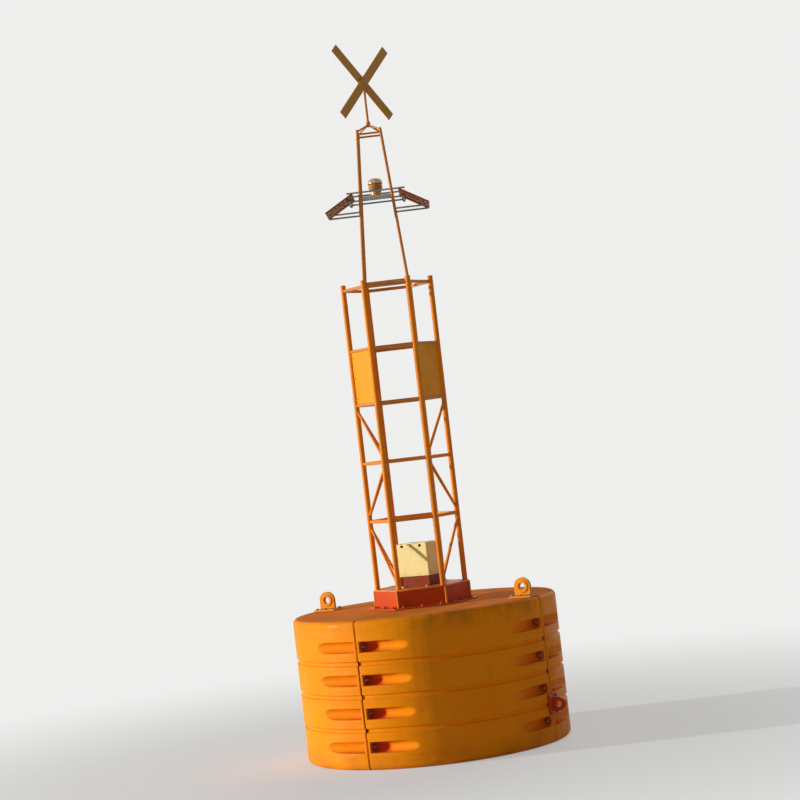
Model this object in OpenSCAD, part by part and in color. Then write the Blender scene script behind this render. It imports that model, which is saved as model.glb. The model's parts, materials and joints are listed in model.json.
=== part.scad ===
// Navigation buoy: plastic float in four quarters, steel lattice tower, mast,
// lantern, solar panels and a crossed topmark.
// Units are millimetres, +Z up, floor at z = 0, origin at the centre of the float's bottom.
// An azimuth is measured in plan from -Y (the side seen in front) towards +X.

/* [Float] */
// Float diameter
float_d = 2400; // [2300:20:2500]
// Float height
float_h = 1300; // [1260:10:1340]
// Gap between two quarters at a seam
seam_gap = 12; // [8:1:16]
// Azimuth of the first seam
seam_az = -30; // [-45:5:-15]
// Rounding radius of the deck's rim
rim_round = 40; // [25:5:55]
// Rounding radius of the bottom edge
bottom_round = 45; // [25:5:60]
// Depth of the round grooves in the wall
groove_depth = 16; // [8:1:20]
// Height of the round grooves in the wall
groove_h = 44; // [30:2:60]

/* [Tie channels] */
// Height of a tie channel
channel_h = 96; // [84:2:108]
// Depth of a tie channel's bottom under the wall at the seam
channel_depth = 94; // [84:1:104]
// Width of the flange between the seam and a channel
flange_w = 22; // [18:1:30]
// Height of the lowest row of channels above the floor
channel_low = 200; // [180:5:220]
// Depth of the highest row of channels below the deck
channel_top = 230; // [210:5:250]

/* [Core] */
// Outer diameter of the steel core
core_d = 592; // [560:4:620]
// Wall of the steel core
core_wall = 8; // [6:1:12]
// Diameter of the recess under the float
recess_d = 960; // [900:10:1000]
// Depth of the recess under the float
recess_h = 50; // [40:2:60]
// Thickness of the bottom plate
bottom_t = 20; // [16:1:25]
// Height of one ballast disc
ballast_h = 120; // [80:10:140]

/* [Lifting and mooring lugs] */
// Distance of a lifting lug from the float's wall
lift_in = 160; // [140:5:200]
// Rounding radius of a lifting lug
lift_round = 80; // [70:2:90]
// Height of the lifting hole above the deck
lift_hole_z = 95; // [90:1:110]
// Diameter of the lifting hole
lift_hole_d = 64; // [50:1:70]
// Thickness of a lifting lug's plate
lift_t = 30; // [25:1:40]
// Distance of a mooring hole from the float's wall
moor_out = 75; // [70:1:90]
// Rounding radius of a mooring lug
moor_round = 60; // [55:1:65]
// Diameter of the mooring hole
moor_hole_d = 56; // [40:1:60]

/* [Tower] */
// Distance of the tower's legs from the axis
tower_r = 400; // [380:5:420]
// Diameter of a tower leg
leg_d = 48.3; // [42.4:0.1:60.3]
// Diameter of a horizontal bar
bar_d = 30; // [26:1:34]
// Diameter of a diagonal brace
brace_d = 24; // [20:1:27]
// Height of the base box above the deck
base_h = 170; // [140:5:180]
// Wall of the base box
base_wall = 8; // [6:1:10]
// Height of the second level above the deck
level_2 = 795; // [780:5:810]
// Height of the third level above the deck
level_3 = 1325; // [1300:5:1350]
// Height of the daymarks' lower edge above the deck
level_4 = 1860; // [1840:5:1880]
// Height of the daymarks' upper edge above the deck
level_5 = 2355; // [2330:5:2380]
// Height of the ring of bars at the tower's top above the deck
level_6 = 2915; // [2900:5:2930]
// Thickness of a daymark panel
daymark_t = 6; // [4:1:8]

/* [Mast] */
// Half width of the mast at its foot
mast_foot = 200; // [190:2:206]
// Half width of the mast at its top
mast_head = 107; // [100:1:115]
// Diameter of a mast leg
mast_d = 26; // [24:1:28]
// Height of the lantern platform above the deck
platform_h = 3760; // [3740:5:3780]
// Height of the mast's top frame above the deck
frame_h = 4312; // [4300:2:4320]

/* [Rails] */
// Diameter of the rails under the mast
foot_rail_d = 28; // [26:1:30]
// Distance of the rails under the panels from the axis
rail_x = 245; // [240:1:250]
// Diameter of the rails under the panels
rail_d = 20; // [18:1:22]
// Reach of the rails under the panels, along themselves
rail_reach = 275; // [265:5:290]
// Reach of the bars over the platform
top_bar_reach = 262; // [255:1:268]

/* [Solar panels] */
// Width of a solar panel
panel_w = 520; // [500:5:540]
// Length of a solar panel along its slope
panel_l = 300; // [290:5:310]
// Thickness of a solar panel
panel_t = 18; // [16:1:22]
// Slope of a solar panel
panel_tilt = 30; // [28:1:32]

/* [Lantern] */
// Diameter of the lantern
lantern_d = 132; // [120:2:140]
// Height of the lantern's foot
foot_h = 62; // [56:2:68]
// Height of the ribbed lens
lens_h = 56; // [50:2:62]

/* [Topmark] */
// Height of the topmark's centre above the mast's top frame
mark_rise = 483; // [470:1:500]
// Length of a topmark arm
arm_l = 880; // [860:5:900]
// Width of a topmark arm
arm_w = 84; // [76:2:90]
// Thickness of a topmark arm
arm_t = 8; // [6:1:10]
// Turn of the topmark about the mast
mark_turn = 45; // [40:1:50]

/* [Battery box] */
// Width of the battery box
box_w = 340; // [330:5:350]
// Depth of the battery box
box_d = 220; // [210:5:230]
// Height of the battery box without its lid
box_h = 255; // [240:5:260]
// Wall of the battery box
box_wall = 5; // [4:1:6]
// Height of the lid
lid_h = 40; // [36:1:44]
// Turn of the battery box about the axis
box_turn = -30; // [-35:1:-25]
// Height of the plinth under the battery box
plinth_h = 95; // [90:1:100]
// Rounding radius of the box's corners
box_round = 18; // [12:1:24]

/* [Hidden] */
$fn = 48;
eps = 1;
float_r = float_d / 2;
core_r = core_d / 2;
seam_list = [seam_az, seam_az + 90, seam_az + 180, seam_az + 270];
lug_list = [seam_az + 90, seam_az + 270];
deck_z = float_h;
channel_count = 4;
channel_pitch = (float_h - channel_low - channel_top) / (channel_count - 1);
channel_rows = [for (i = [0:channel_count - 1]) channel_low + i * channel_pitch];
groove_rows = [for (i = [0:channel_count - 2]) channel_low + (i + 0.5) * channel_pitch];
groove_side = 0.6 * groove_depth;
channel_near = seam_gap / 2 + flange_w;
channel_r = channel_h / 2;
channel_x = float_r - channel_depth + channel_r;
channel_far = sqrt(pow(float_r, 2) - pow(float_r - channel_depth, 2));
bottom_z = recess_h - bottom_t;
ballast_gap = 4;
seam_plate_t = 10;
seam_plate_r = float_r - 80;
core_fit = 2;
lift_r = float_r - lift_in;
lift_base_t = 16;
lift_cheek_t = 8;
lift_cheek_r = 58;
moor_t = 30;
moor_cheek_t = 8;
moor_cheek_r = 42;
moor_plate_t = 16;
moor_plate_w = 150;
moor_plate_h = 180;
moor_gap = 4;
moor_z = channel_low + channel_pitch / 2;
flange_t = 12;
flange_r = 500;
leg_az = [-90, -30, 30, 90, 150, 210];
leg_r = leg_d / 2;
bar_r = bar_d / 2;
brace_r = brace_d / 2;
brace_inset = 40;
brace_az = [[-90, -30], [90, 30], [90, 150], [-90, -150]];
panel_az = [-90, 30, 90, 210];
base_fit = 1;
base_apothem = tower_r * cos(30) + leg_r + base_fit + base_wall;
base_top_z = deck_z + base_h;
base_top_t = 6;
z2 = deck_z + level_2;
z3 = deck_z + level_3;
z4 = deck_z + level_4;
z5 = deck_z + level_5;
z6 = deck_z + level_6;
foot_rail_z = z6 + 30;
leg_top_z = foot_rail_z + 16;
foot_rail_x = tower_r * sin(30);
foot_rail_r = foot_rail_d / 2;
foot_bar_r = 12;
mast_r = mast_d / 2;
platform_z = deck_z + platform_h;
platform_t = 6;
plate_z = platform_z - 24;
top_bar_z = platform_z + 22;
frame_z = deck_z + frame_h;
frame_r = 9;
mast_top_z = frame_z + 38;
rail_z = platform_z - 55;
rail_r = rail_d / 2;
cross_r = 8;
panel_x = 215;
frame_w = 14;
frame_lip = 4;
glass_t = 5;
glass_fit = 0.5;
rib_count = 5;
rib_w = 14;
rib_lift = 2;
panel_z = platform_z + 10;
cradle_t = 12;
cradle_w = 24;
cradle_y = 153;
strut_r = 8;
strut_reach = 465;
cradle_inset = 4;
cradle_cut = 200;
bracket_x = 22;
bracket_y = 18;
bracket_h = 60;
bracket_gap = 0.5;
strut_z = platform_z - 160;
lantern_r = lantern_d / 2;
lantern_z = plate_z + platform_t / 2;
neck_r = lantern_r - 16;
lens_ribs = 7;
cap_round = 44;
hip_r = 8;
hip_z = mast_top_z - 12;
socket_r = 18;
socket_z = hip_z + 45;
socket_h = 50;
rod_r = 11;
tang_t = 12;
mark_z = frame_z + mark_rise;
rod_top_z = mark_z - 95;
tang_top_z = mark_z + 55;
box_z = base_top_z + plinth_h;
rim_z = box_z + box_h;
lid_gap = 0.6;
lid_lip = 3;
hinge_y = box_d / 2 + 15;
hinge_z = rim_z + 4;
hinge_x = 100;
knuckle_r = 9;
pin_r = 4;
pin_fit = 0.05;

function ring_xy(a, r) = [r * sin(a), -r * cos(a)];
function leg_at(a, z) = [tower_r * sin(a), -tower_r * cos(a), z];
function mast_half(z) = mast_foot + (mast_head - mast_foot) * (z - foot_rail_z) / (frame_z - foot_rail_z);

module bar(p, q, r) {
    v = q - p;
    length = norm(v);
    translate(p)
        rotate([0, acos(v[2] / length), atan2(v[1], v[0])])
            cylinder(r = r, h = length);
}

module at_azimuth(a) {
    rotate([0, 0, a])
        children();
}

module hexagon(apothem, h) {
    cylinder(r = apothem / cos(30), h = h, $fn = 6);
}

// Float

function arc(x, z, r, a0, a1, n) =
    [for (i = [0:n]) [x + r * cos(a0 + (a1 - a0) * i / n), z + r * sin(a0 + (a1 - a0) * i / n)]];

module float_profile() {
    groove = [for (z = groove_rows) for (p = [
        [float_r, z - groove_h / 2], [float_r - groove_depth, z - groove_h / 2 + groove_side],
        [float_r - groove_depth, z + groove_h / 2 - groove_side], [float_r, z + groove_h / 2]]) p];
    polygon(concat(
        [[core_r + core_fit, recess_h], [recess_d / 2, recess_h], [recess_d / 2, 0]],
        arc(float_r - bottom_round, bottom_round, bottom_round, -90, 0, 4),
        groove,
        arc(float_r - rim_round, float_h - rim_round, rim_round, 0, 90, 4),
        [[core_r + core_fit, float_h]]));
}

module tie_channel(z) {
    translate([channel_x, channel_near, z])
        rotate([-90, 0, 0])
            linear_extrude(height = channel_far)
                union() {
                    circle(r = channel_r);
                    translate([0, -channel_r])
                        square([channel_depth, channel_h]);
                }
}

module float_quarter() {
    difference() {
        intersection() {
            rotate_extrude($fn = 96)
                float_profile();
            translate([seam_gap / 2, seam_gap / 2, -eps])
                cube([float_r + 10, float_r + 10, float_h + 2 * eps]);
        }
        for (z = channel_rows) {
            tie_channel(z);
            mirror([1, -1, 0])
                tie_channel(z);
        }
    }
}

module float_module(i) {
    color("gold")
        rotate([0, 0, seam_list[i] - 90])
            float_quarter();
}

// Core, ballast and lugs

module core_tube() {
    color("orangered")
        translate([0, 0, recess_h])
            difference() {
                cylinder(r = core_r, h = float_h - recess_h);
                translate([0, 0, -eps])
                    cylinder(r = core_r - core_wall, h = float_h - recess_h + 2 * eps);
            }
}

module bottom_plate() {
    color("orangered")
        translate([0, 0, bottom_z])
            cylinder(r = recess_d / 2 - 10, h = bottom_t);
}

module ballast_discs() {
    disc_r = core_r - core_wall - 6;
    color("dimgray")
        translate([0, 0, recess_h]) {
            for (i = [0:2])
                translate([0, 0, i * (ballast_h + ballast_gap)])
                    cylinder(r = disc_r, h = ballast_h);
            cylinder(r = disc_r - 30, h = 3 * ballast_h + 2 * ballast_gap);
        }
}

module seam_plates() {
    color("orangered")
        for (a = lug_list)
            difference() {
                at_azimuth(a) {
                    translate([-seam_plate_t / 2, -seam_plate_r, recess_h])
                        cube([seam_plate_t, seam_plate_r - core_r + 20, float_h - recess_h]);
                    translate([-seam_plate_t / 2, -float_r - moor_gap, moor_z - moor_plate_h / 2 + 10])
                        cube([seam_plate_t, float_r + moor_gap - seam_plate_r + 20, moor_plate_h - 20]);
                }
                cylinder(r = core_r, h = float_h + eps);
            }
}

module lug_blank(round_r, thick, height) {
    rotate([0, 90, 0])
        translate([0, 0, -thick / 2])
            cylinder(r = round_r, h = thick);
    translate([-thick / 2, -round_r, -height])
        cube([thick, 2 * round_r, height]);
}

module lifting_lug() {
    difference() {
        union() {
            translate([0, 0, lift_hole_z])
                lug_blank(lift_round, lift_t, lift_hole_z);
            translate([-lift_t / 2 - lift_cheek_t, 0, lift_hole_z])
                rotate([0, 90, 0])
                    cylinder(r = lift_cheek_r, h = lift_t + 2 * lift_cheek_t);
            translate([-80, -110, 0])
                cube([160, 220, lift_base_t]);
        }
        translate([-100, 0, lift_hole_z])
            rotate([0, 90, 0])
                cylinder(r = lift_hole_d / 2, h = 200);
    }
}

module lifting_lugs() {
    color("orange")
        for (a = lug_list)
            at_azimuth(a)
                translate([0, -lift_r, deck_z])
                    lifting_lug();
}

module mooring_lug() {
    difference() {
        union() {
            translate([-moor_plate_w / 2, -moor_plate_t, -moor_plate_h / 2])
                cube([moor_plate_w, moor_plate_t, moor_plate_h]);
            translate([-moor_t / 2, moor_gap - moor_out, -moor_round])
                cube([moor_t, moor_out - moor_gap - 1, 2 * moor_round]);
            translate([0, moor_gap - moor_out, 0])
                rotate([0, 90, 0]) {
                    translate([0, 0, -moor_t / 2])
                        cylinder(r = moor_round, h = moor_t);
                    translate([0, 0, -moor_t / 2 - moor_cheek_t])
                        cylinder(r = moor_cheek_r, h = moor_t + 2 * moor_cheek_t);
                }
        }
        translate([-50, moor_gap - moor_out, 0])
            rotate([0, 90, 0])
                cylinder(r = moor_hole_d / 2, h = 100);
    }
}

module mooring_lugs() {
    color("orangered")
        for (a = lug_list)
            at_azimuth(a)
                translate([0, -float_r - moor_gap, moor_z])
                    mooring_lug();
}

// Tower

module tower_leg_cut(a) {
    translate(leg_at(a, deck_z))
        cylinder(r = leg_r, h = leg_top_z - deck_z + 20);
}

module deck_flange() {
    color("orangered")
        translate([0, 0, deck_z])
            hexagon(flange_r * cos(30), flange_t);
}

module base_box() {
    inner_h = base_h - flange_t - base_top_t;
    color("orangered")
        translate([0, 0, deck_z + flange_t])
            difference() {
                hexagon(base_apothem, base_h - flange_t);
                translate([0, 0, -eps])
                    hexagon(base_apothem - base_wall, inner_h + eps);
            }
}

module tower_legs() {
    color("darkorange")
        for (a = leg_az)
            translate(leg_at(a, base_top_z))
                cylinder(r = leg_r, h = leg_top_z - base_top_z);
}

module level_bar(a, z) {
    difference() {
        bar(leg_at(a, z), leg_at(a + 60, z), bar_r);
        tower_leg_cut(a);
        tower_leg_cut(a + 60);
    }
}

module level_bars(z) {
    color("darkorange")
        for (a = leg_az)
            level_bar(a, z);
}

module brace(outer, inner, low, high, falls) {
    difference() {
        bar(leg_at(falls ? outer : inner, high - brace_inset),
            leg_at(falls ? inner : outer, low + brace_inset), brace_r);
        tower_leg_cut(outer);
        tower_leg_cut(inner);
    }
}

module diagonal_braces() {
    color("darkorange")
        for (f = brace_az) {
            brace(f[0], f[1], base_top_z, z2, true);
            brace(f[0], f[1], z2, z3, false);
            brace(f[0], f[1], z3, z4, true);
        }
}

module daymark_panels() {
    color("gold")
        for (a = panel_az)
            difference() {
                at_azimuth(a + 30)
                    translate([-tower_r / 2, -tower_r * cos(30) - daymark_t / 2, z4])
                        cube([tower_r, daymark_t, z5 - z4]);
                tower_leg_cut(a);
                tower_leg_cut(a + 60);
                bar(leg_at(a, z4), leg_at(a + 60, z4), bar_r);
                bar(leg_at(a, z5), leg_at(a + 60, z5), bar_r);
            }
}

module mast_rails() {
    color("darkorange")
        for (s = [-1, 1])
            difference() {
                bar([s * foot_rail_x, -tower_r * cos(30), foot_rail_z],
                    [s * foot_rail_x, tower_r * cos(30), foot_rail_z], foot_rail_r);
                tower_leg_cut(s * 30);
                tower_leg_cut(s * 150);
            }
}

// Mast

module mast_leg(s, t, r) {
    low = mast_half(foot_rail_z);
    high = mast_half(mast_top_z);
    bar([s * low, t * low, foot_rail_z], [s * high, t * high, mast_top_z], r);
}

module mast_leg_cuts() {
    for (s = [-1, 1], t = [-1, 1])
        mast_leg(s, t, mast_r);
}

module mast_legs() {
    color("darkorange")
        for (s = [-1, 1])
            difference() {
                for (t = [-1, 1])
                    mast_leg(s, t, mast_r);
                bar([s * foot_rail_x, -tower_r, foot_rail_z], [s * foot_rail_x, tower_r, foot_rail_z], foot_rail_r);
            }
}

module mast_foot_bars() {
    color("darkorange")
        difference() {
            for (t = [-1, 1])
                bar([-foot_rail_x, t * mast_foot, foot_rail_z], [foot_rail_x, t * mast_foot, foot_rail_z],
                    foot_bar_r);
            mast_leg_cuts();
            for (s = [-1, 1])
                bar([s * foot_rail_x, -tower_r, foot_rail_z], [s * foot_rail_x, tower_r, foot_rail_z],
                    foot_rail_r);
        }
}

module platform() {
    half = mast_half(plate_z) + 4;
    color("gray")
        difference() {
            translate([-half, -half, plate_z - platform_t / 2])
                cube([2 * half, 2 * half, platform_t]);
            mast_leg_cuts();
        }
}

module panel_rails() {
    color("gray")
        for (s = [-1, 1])
            bar([s * rail_x, -rail_reach, rail_z], [s * rail_x, rail_reach, rail_z], rail_r);
}

module top_bars() {
    half = mast_half(top_bar_z);
    color("gray")
        difference() {
            for (t = [-1, 1])
                bar([-top_bar_reach, t * half, top_bar_z], [top_bar_reach, t * half, top_bar_z], cross_r);
            mast_leg_cuts();
        }
}

module cross_bars() {
    half = mast_half(rail_z);
    color("gray")
        difference() {
            union() {
                for (t = [-1, 1])
                    bar([-rail_x, t * half, rail_z], [rail_x, t * half, rail_z], cross_r);
                for (s = [-1, 1])
                    bar([s * half, -half, rail_z], [s * half, half, rail_z], cross_r);
            }
            mast_leg_cuts();
            for (s = [-1, 1])
                bar([s * rail_x, -rail_reach, rail_z], [s * rail_x, rail_reach, rail_z], rail_r);
        }
}

module mast_frame() {
    half = mast_half(frame_z);
    color("darkorange")
        difference() {
            for (i = [0:3])
                rotate([0, 0, i * 90])
                    bar([-half, -half, frame_z], [half, -half, frame_z], frame_r);
            mast_leg_cuts();
        }
}

module hip_bars() {
    half = mast_half(hip_z);
    color("darkorange")
        for (s = [-1, 1], t = [-1, 1])
            difference() {
                bar([s * half, t * half, hip_z], [0, 0, socket_z + 20], hip_r);
                mast_leg(s, t, mast_r);
                translate([0, 0, socket_z - 100])
                    cylinder(r = socket_r, h = 300);
            }
}

// Solar panels

module on_slope() {
    for (s = [0, 1])
        mirror([s, 0, 0])
            translate([panel_x, 0, panel_z])
                rotate([0, panel_tilt, 0])
                    children();
}

module solar_tray() {
    inner_l = panel_l - 2 * frame_w;
    inner_w = panel_w - 2 * frame_w;
    rib_h = panel_t - glass_t - rib_lift;
    difference() {
        translate([0, -panel_w / 2, -panel_t])
            cube([panel_l, panel_w, panel_t]);
        translate([frame_w, -inner_w / 2, -panel_t - eps])
            cube([inner_l, inner_w, panel_t + 2 * eps]);
        translate([frame_lip, frame_lip - panel_w / 2, -glass_t])
            cube([panel_l - 2 * frame_lip, panel_w - 2 * frame_lip, glass_t + eps]);
    }
    for (i = [1:rib_count])
        translate([frame_w + inner_l * i / (rib_count + 1) - rib_w / 2, -inner_w / 2 - eps, -glass_t - rib_h])
            cube([rib_w, inner_w + 2 * eps, rib_h]);
}

module solar_trays() {
    color("darkorange")
        on_slope()
            solar_tray();
}

module solar_panels() {
    inset = frame_lip + glass_fit;
    color("midnightblue")
        on_slope()
            translate([inset, inset - panel_w / 2, -glass_t])
                cube([panel_l - 2 * inset, panel_w - 2 * inset, glass_t]);
}

module solar_cradles() {
    color("darkorange")
        on_slope()
            for (t = [-1, 1])
                translate([cradle_inset, t * cradle_y - cradle_w / 2, -panel_t - cradle_t])
                    cube([panel_l - 2 * cradle_inset, cradle_w, cradle_t]);
}

module cradle_space() {
    on_slope()
        translate([-cradle_cut / 2, -panel_w / 2, -panel_t - cradle_t])
            cube([panel_l + cradle_cut, panel_w, cradle_cut]);
}

module solar_brackets() {
    color("gray")
        difference() {
            for (s = [-1, 1], t = [-1, 1])
                translate([s * rail_x - bracket_x / 2, t * cradle_y - bracket_y / 2,
                    rail_z + cross_r + bracket_gap])
                    cube([bracket_x, bracket_y, bracket_h]);
            cradle_space();
            for (s = [-1, 1])
                bar([s * rail_x, -rail_reach, rail_z], [s * rail_x, rail_reach, rail_z], rail_r);
        }
}

module solar_struts() {
    half = mast_half(strut_z);
    color("gray")
        difference() {
            for (s = [-1, 1], t = [-1, 1])
                bar([s * half, t * half, strut_z],
                    [s * strut_reach, t * cradle_y, strut_z], strut_r);
            mast_leg_cuts();
            cradle_space();
        }
}

// Lantern

module lantern_base() {
    color("orange")
        translate([0, 0, lantern_z])
            rotate_extrude()
                polygon([[0, 0], [lantern_r + 4, 0], [lantern_r + 4, 9], [neck_r + 8, 12], [neck_r, 20],
                         [neck_r, foot_h - 16], [neck_r + 8, foot_h - 6], [neck_r + 8, foot_h], [0, foot_h]]);
}

module lantern_lens() {
    step = lens_h / lens_ribs;
    color("gold")
        translate([0, 0, lantern_z + foot_h])
            rotate_extrude()
                polygon(concat([[0, 0]],
                    [for (i = [0:lens_ribs - 1]) for (p = [
                        [lantern_r - 5, i * step], [lantern_r - 1, (i + 0.5) * step]]) p],
                    [[lantern_r - 5, lens_h], [0, lens_h]]));
}

module lantern_cap() {
    color("orange")
        translate([0, 0, lantern_z + foot_h + lens_h])
            rotate_extrude()
                polygon(concat([[0, 0], [lantern_r, 0], [lantern_r, 10]],
                    arc(lantern_r - cap_round, 10, cap_round, 12, 72, 5), [[0, 10 + cap_round]]));
}

// Topmark

module topmark_rod() {
    color("darkorange")
        union() {
            translate([0, 0, socket_z])
                cylinder(r = socket_r, h = socket_h);
            translate([0, 0, socket_z])
                cylinder(r = rod_r, h = rod_top_z - socket_z);
            rotate([0, 0, mark_turn])
                translate([-rod_r, -tang_t / 2, rod_top_z - 20])
                    cube([2 * rod_r, tang_t, tang_top_z - rod_top_z + 20]);
        }
}

module topmark_arm(lean, side) {
    color("gold")
        translate([0, 0, mark_z])
            rotate([0, 0, mark_turn])
                rotate([0, lean, 0])
                    translate([-arm_w / 2, side < 0 ? -tang_t / 2 - arm_t : tang_t / 2, -arm_l / 2])
                        cube([arm_w, arm_t, arm_l]);
}

// Battery box

module in_box_frame() {
    rotate([0, 0, box_turn])
        children();
}

module rounded_block(w, d, h, r) {
    linear_extrude(height = h)
        polygon(concat(
            arc(w / 2 - r, d / 2 - r, r, 0, 90, 4), arc(r - w / 2, d / 2 - r, r, 90, 180, 4),
            arc(r - w / 2, r - d / 2, r, 180, 270, 4), arc(w / 2 - r, r - d / 2, r, 270, 360, 4)));
}

module box_plinth() {
    w = box_w - 40;
    d = box_d - 30;
    color("orangered")
        in_box_frame()
            translate([-w / 2, -d / 2, base_top_z])
                difference() {
                    cube([w, d, plinth_h]);
                    translate([6, 6, -eps])
                        cube([w - 12, d - 12, plinth_h - 5]);
                }
}

module hinge_barrel(x0, x1, r) {
    translate([x0, hinge_y, hinge_z])
        rotate([0, 90, 0])
            cylinder(r = r, h = x1 - x0);
}

module battery_box() {
    color("khaki")
        in_box_frame()
            difference() {
                union() {
                    translate([0, 0, box_z])
                        difference() {
                            rounded_block(box_w, box_d, box_h, box_round);
                            translate([0, 0, box_wall])
                                rounded_block(box_w - 2 * box_wall, box_d - 2 * box_wall, box_h,
                                    box_round - box_wall);
                        }
                    for (s = [-1, 1]) {
                        hinge_barrel(s * hinge_x - 10, s * hinge_x + 10, knuckle_r);
                        translate([s * hinge_x - 10, box_d / 2 - 1, rim_z - 40])
                            cube([20, hinge_y - box_d / 2 + 1, hinge_z - rim_z + 40 - 4]);
                    }
                }
                for (s = [-1, 1])
                    hinge_barrel(s * hinge_x - 40, s * hinge_x + 40, pin_r);
            }
}

module hinge_pins() {
    color("silver")
        in_box_frame()
            for (s = [-1, 1])
                hinge_barrel(s * hinge_x - 32, s * hinge_x + 32, pin_r);
}

module box_lid() {
    color("khaki")
        in_box_frame()
            difference() {
                union() {
                    translate([0, -lid_lip / 2, rim_z + lid_gap])
                        difference() {
                            rounded_block(box_w + 2 * lid_lip, box_d + lid_lip, lid_h,
                                box_round + lid_lip / 2);
                            translate([0, 0, -eps])
                                rounded_block(box_w + 2 * (lid_lip - box_wall),
                                    box_d + lid_lip - 2 * box_wall, lid_h - box_wall + eps,
                                    box_round + lid_lip / 2 - box_wall);
                        }
                    for (s = [-1, 1], k = [-1, 1]) {
                        hinge_barrel(s * hinge_x + (k < 0 ? -30 : 10.5),
                            s * hinge_x + (k < 0 ? -10.5 : 30), knuckle_r);
                        translate([s * hinge_x + (k < 0 ? -30 : 10.5), box_d / 2 - 2, hinge_z + 2])
                            cube([19.5, hinge_y - box_d / 2 + 2, 7]);
                    }
                }
                for (s = [-1, 1])
                    hinge_barrel(s * hinge_x - 40, s * hinge_x + 40, pin_r + pin_fit);
            }
}

float_module(0);  // float_module_a
float_module(1);  // float_module_b
float_module(2);  // float_module_c
float_module(3);  // float_module_d
core_tube();
bottom_plate();
ballast_discs();
seam_plates();
mooring_lugs();
lifting_lugs();
deck_flange();
base_box();
tower_legs();
level_bars(z2);  // level_bars_2
level_bars(z3);  // level_bars_3
level_bars(z4);  // level_bars_4
level_bars(z5);  // level_bars_5
level_bars(z6);  // ring_bars
diagonal_braces();
daymark_panels();
mast_rails();
mast_foot_bars();
mast_legs();
platform();
panel_rails();
cross_bars();
top_bars();
solar_panels();
solar_trays();
solar_cradles();
solar_brackets();
solar_struts();
lantern_base();
lantern_lens();
lantern_cap();
mast_frame();
hip_bars();
topmark_rod();
topmark_arm(45, -1);  // topmark_arm_front
topmark_arm(-45, 1);  // topmark_arm_back
box_plinth();
battery_box();
hinge_pins();
box_lid();
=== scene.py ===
"""Looks of the navigation buoy: finishes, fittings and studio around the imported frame."""

from __future__ import annotations

import json
import logging
import math
from collections.abc import Iterable, Sequence
from dataclasses import dataclass
from enum import Enum
from typing import Protocol

import bmesh
import bpy
from mathutils import Matrix, Vector

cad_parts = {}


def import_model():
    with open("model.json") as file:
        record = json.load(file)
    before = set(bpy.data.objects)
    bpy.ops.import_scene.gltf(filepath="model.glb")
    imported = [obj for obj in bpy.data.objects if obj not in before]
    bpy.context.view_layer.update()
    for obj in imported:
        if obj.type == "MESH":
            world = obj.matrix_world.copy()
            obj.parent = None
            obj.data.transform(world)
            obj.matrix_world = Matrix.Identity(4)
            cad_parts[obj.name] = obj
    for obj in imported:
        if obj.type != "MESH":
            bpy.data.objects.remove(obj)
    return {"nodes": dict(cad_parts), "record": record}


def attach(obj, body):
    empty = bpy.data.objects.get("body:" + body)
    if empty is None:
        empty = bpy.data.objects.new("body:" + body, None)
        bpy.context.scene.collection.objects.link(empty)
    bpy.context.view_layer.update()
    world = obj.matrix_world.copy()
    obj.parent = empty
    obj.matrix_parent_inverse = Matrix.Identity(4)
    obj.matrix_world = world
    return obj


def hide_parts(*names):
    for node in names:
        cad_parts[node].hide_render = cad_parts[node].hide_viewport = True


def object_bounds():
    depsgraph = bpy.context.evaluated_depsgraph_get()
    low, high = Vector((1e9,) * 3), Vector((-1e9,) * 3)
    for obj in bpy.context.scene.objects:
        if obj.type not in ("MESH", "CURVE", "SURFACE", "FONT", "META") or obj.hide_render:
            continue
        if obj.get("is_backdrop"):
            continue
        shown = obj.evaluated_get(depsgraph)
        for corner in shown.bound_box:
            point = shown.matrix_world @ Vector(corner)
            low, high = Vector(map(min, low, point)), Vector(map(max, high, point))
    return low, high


LOG = logging.getLogger("buoy")
IDENTITY = Matrix.Identity(4)
UP = Vector((0.0, 0.0, 1.0))
DOWN = Vector((0.0, 0.0, -1.0))

# Sockets of a Mix node that mixes colours
MIX_SHARE, MIX_FIRST, MIX_SECOND, MIX_RESULT = 0, 6, 7, 2

MM_PER_M = 1000.0

# How far welds, seats and the floor stand clear of a surface
CLEAR = 0.001

# Corner radius of a hexagon over the radius of its flats
HEX_CORNER = 1.155

# The mast's corners, as signs of X and Y
CORNERS = ((-1, -1), (-1, 1), (1, -1), (1, 1))

# Edge roundings of sheets, and of the battery box and the cradles
SHEET_ROUND = 0.0012
BOX_ROUND = 0.0015

# Weld beads are smooth up to this angle in degrees
WELD_SHARP = 70.0

# Points of a node nearer than this are one, and faces within this angle in degrees are joined
SAME_POINT = 2e-5
SAME_PLANE = 0.4

Colour = tuple[int, int, int]
Linear = tuple[float, float, float, float]
Point = tuple[float, float, float]
Pair = tuple[float, float]
Row = tuple[float, ...]
Outline = tuple[Pair, ...]
Socket = bpy.types.NodeSocket


class Body(Enum):
    """The moving bodies of the buoy."""

    BUOY = "buoy"
    LID = "lid"


class Slot(Enum):
    """The record's material slots."""

    FLOAT = "float_yellow"
    FRAME = "frame_orange"
    BASE = "base_red"
    LUG = "lug_orange"
    DAYMARK = "daymark_yellow"
    ZINC = "galvanised"
    CELLS = "solar_cells"
    TRAY = "tray_brown"
    AMBER = "lantern_amber"
    LENS = "lantern_lens"
    CREAM = "box_cream"
    IRON = "ballast_iron"
    STAINLESS = "stainless"


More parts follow.
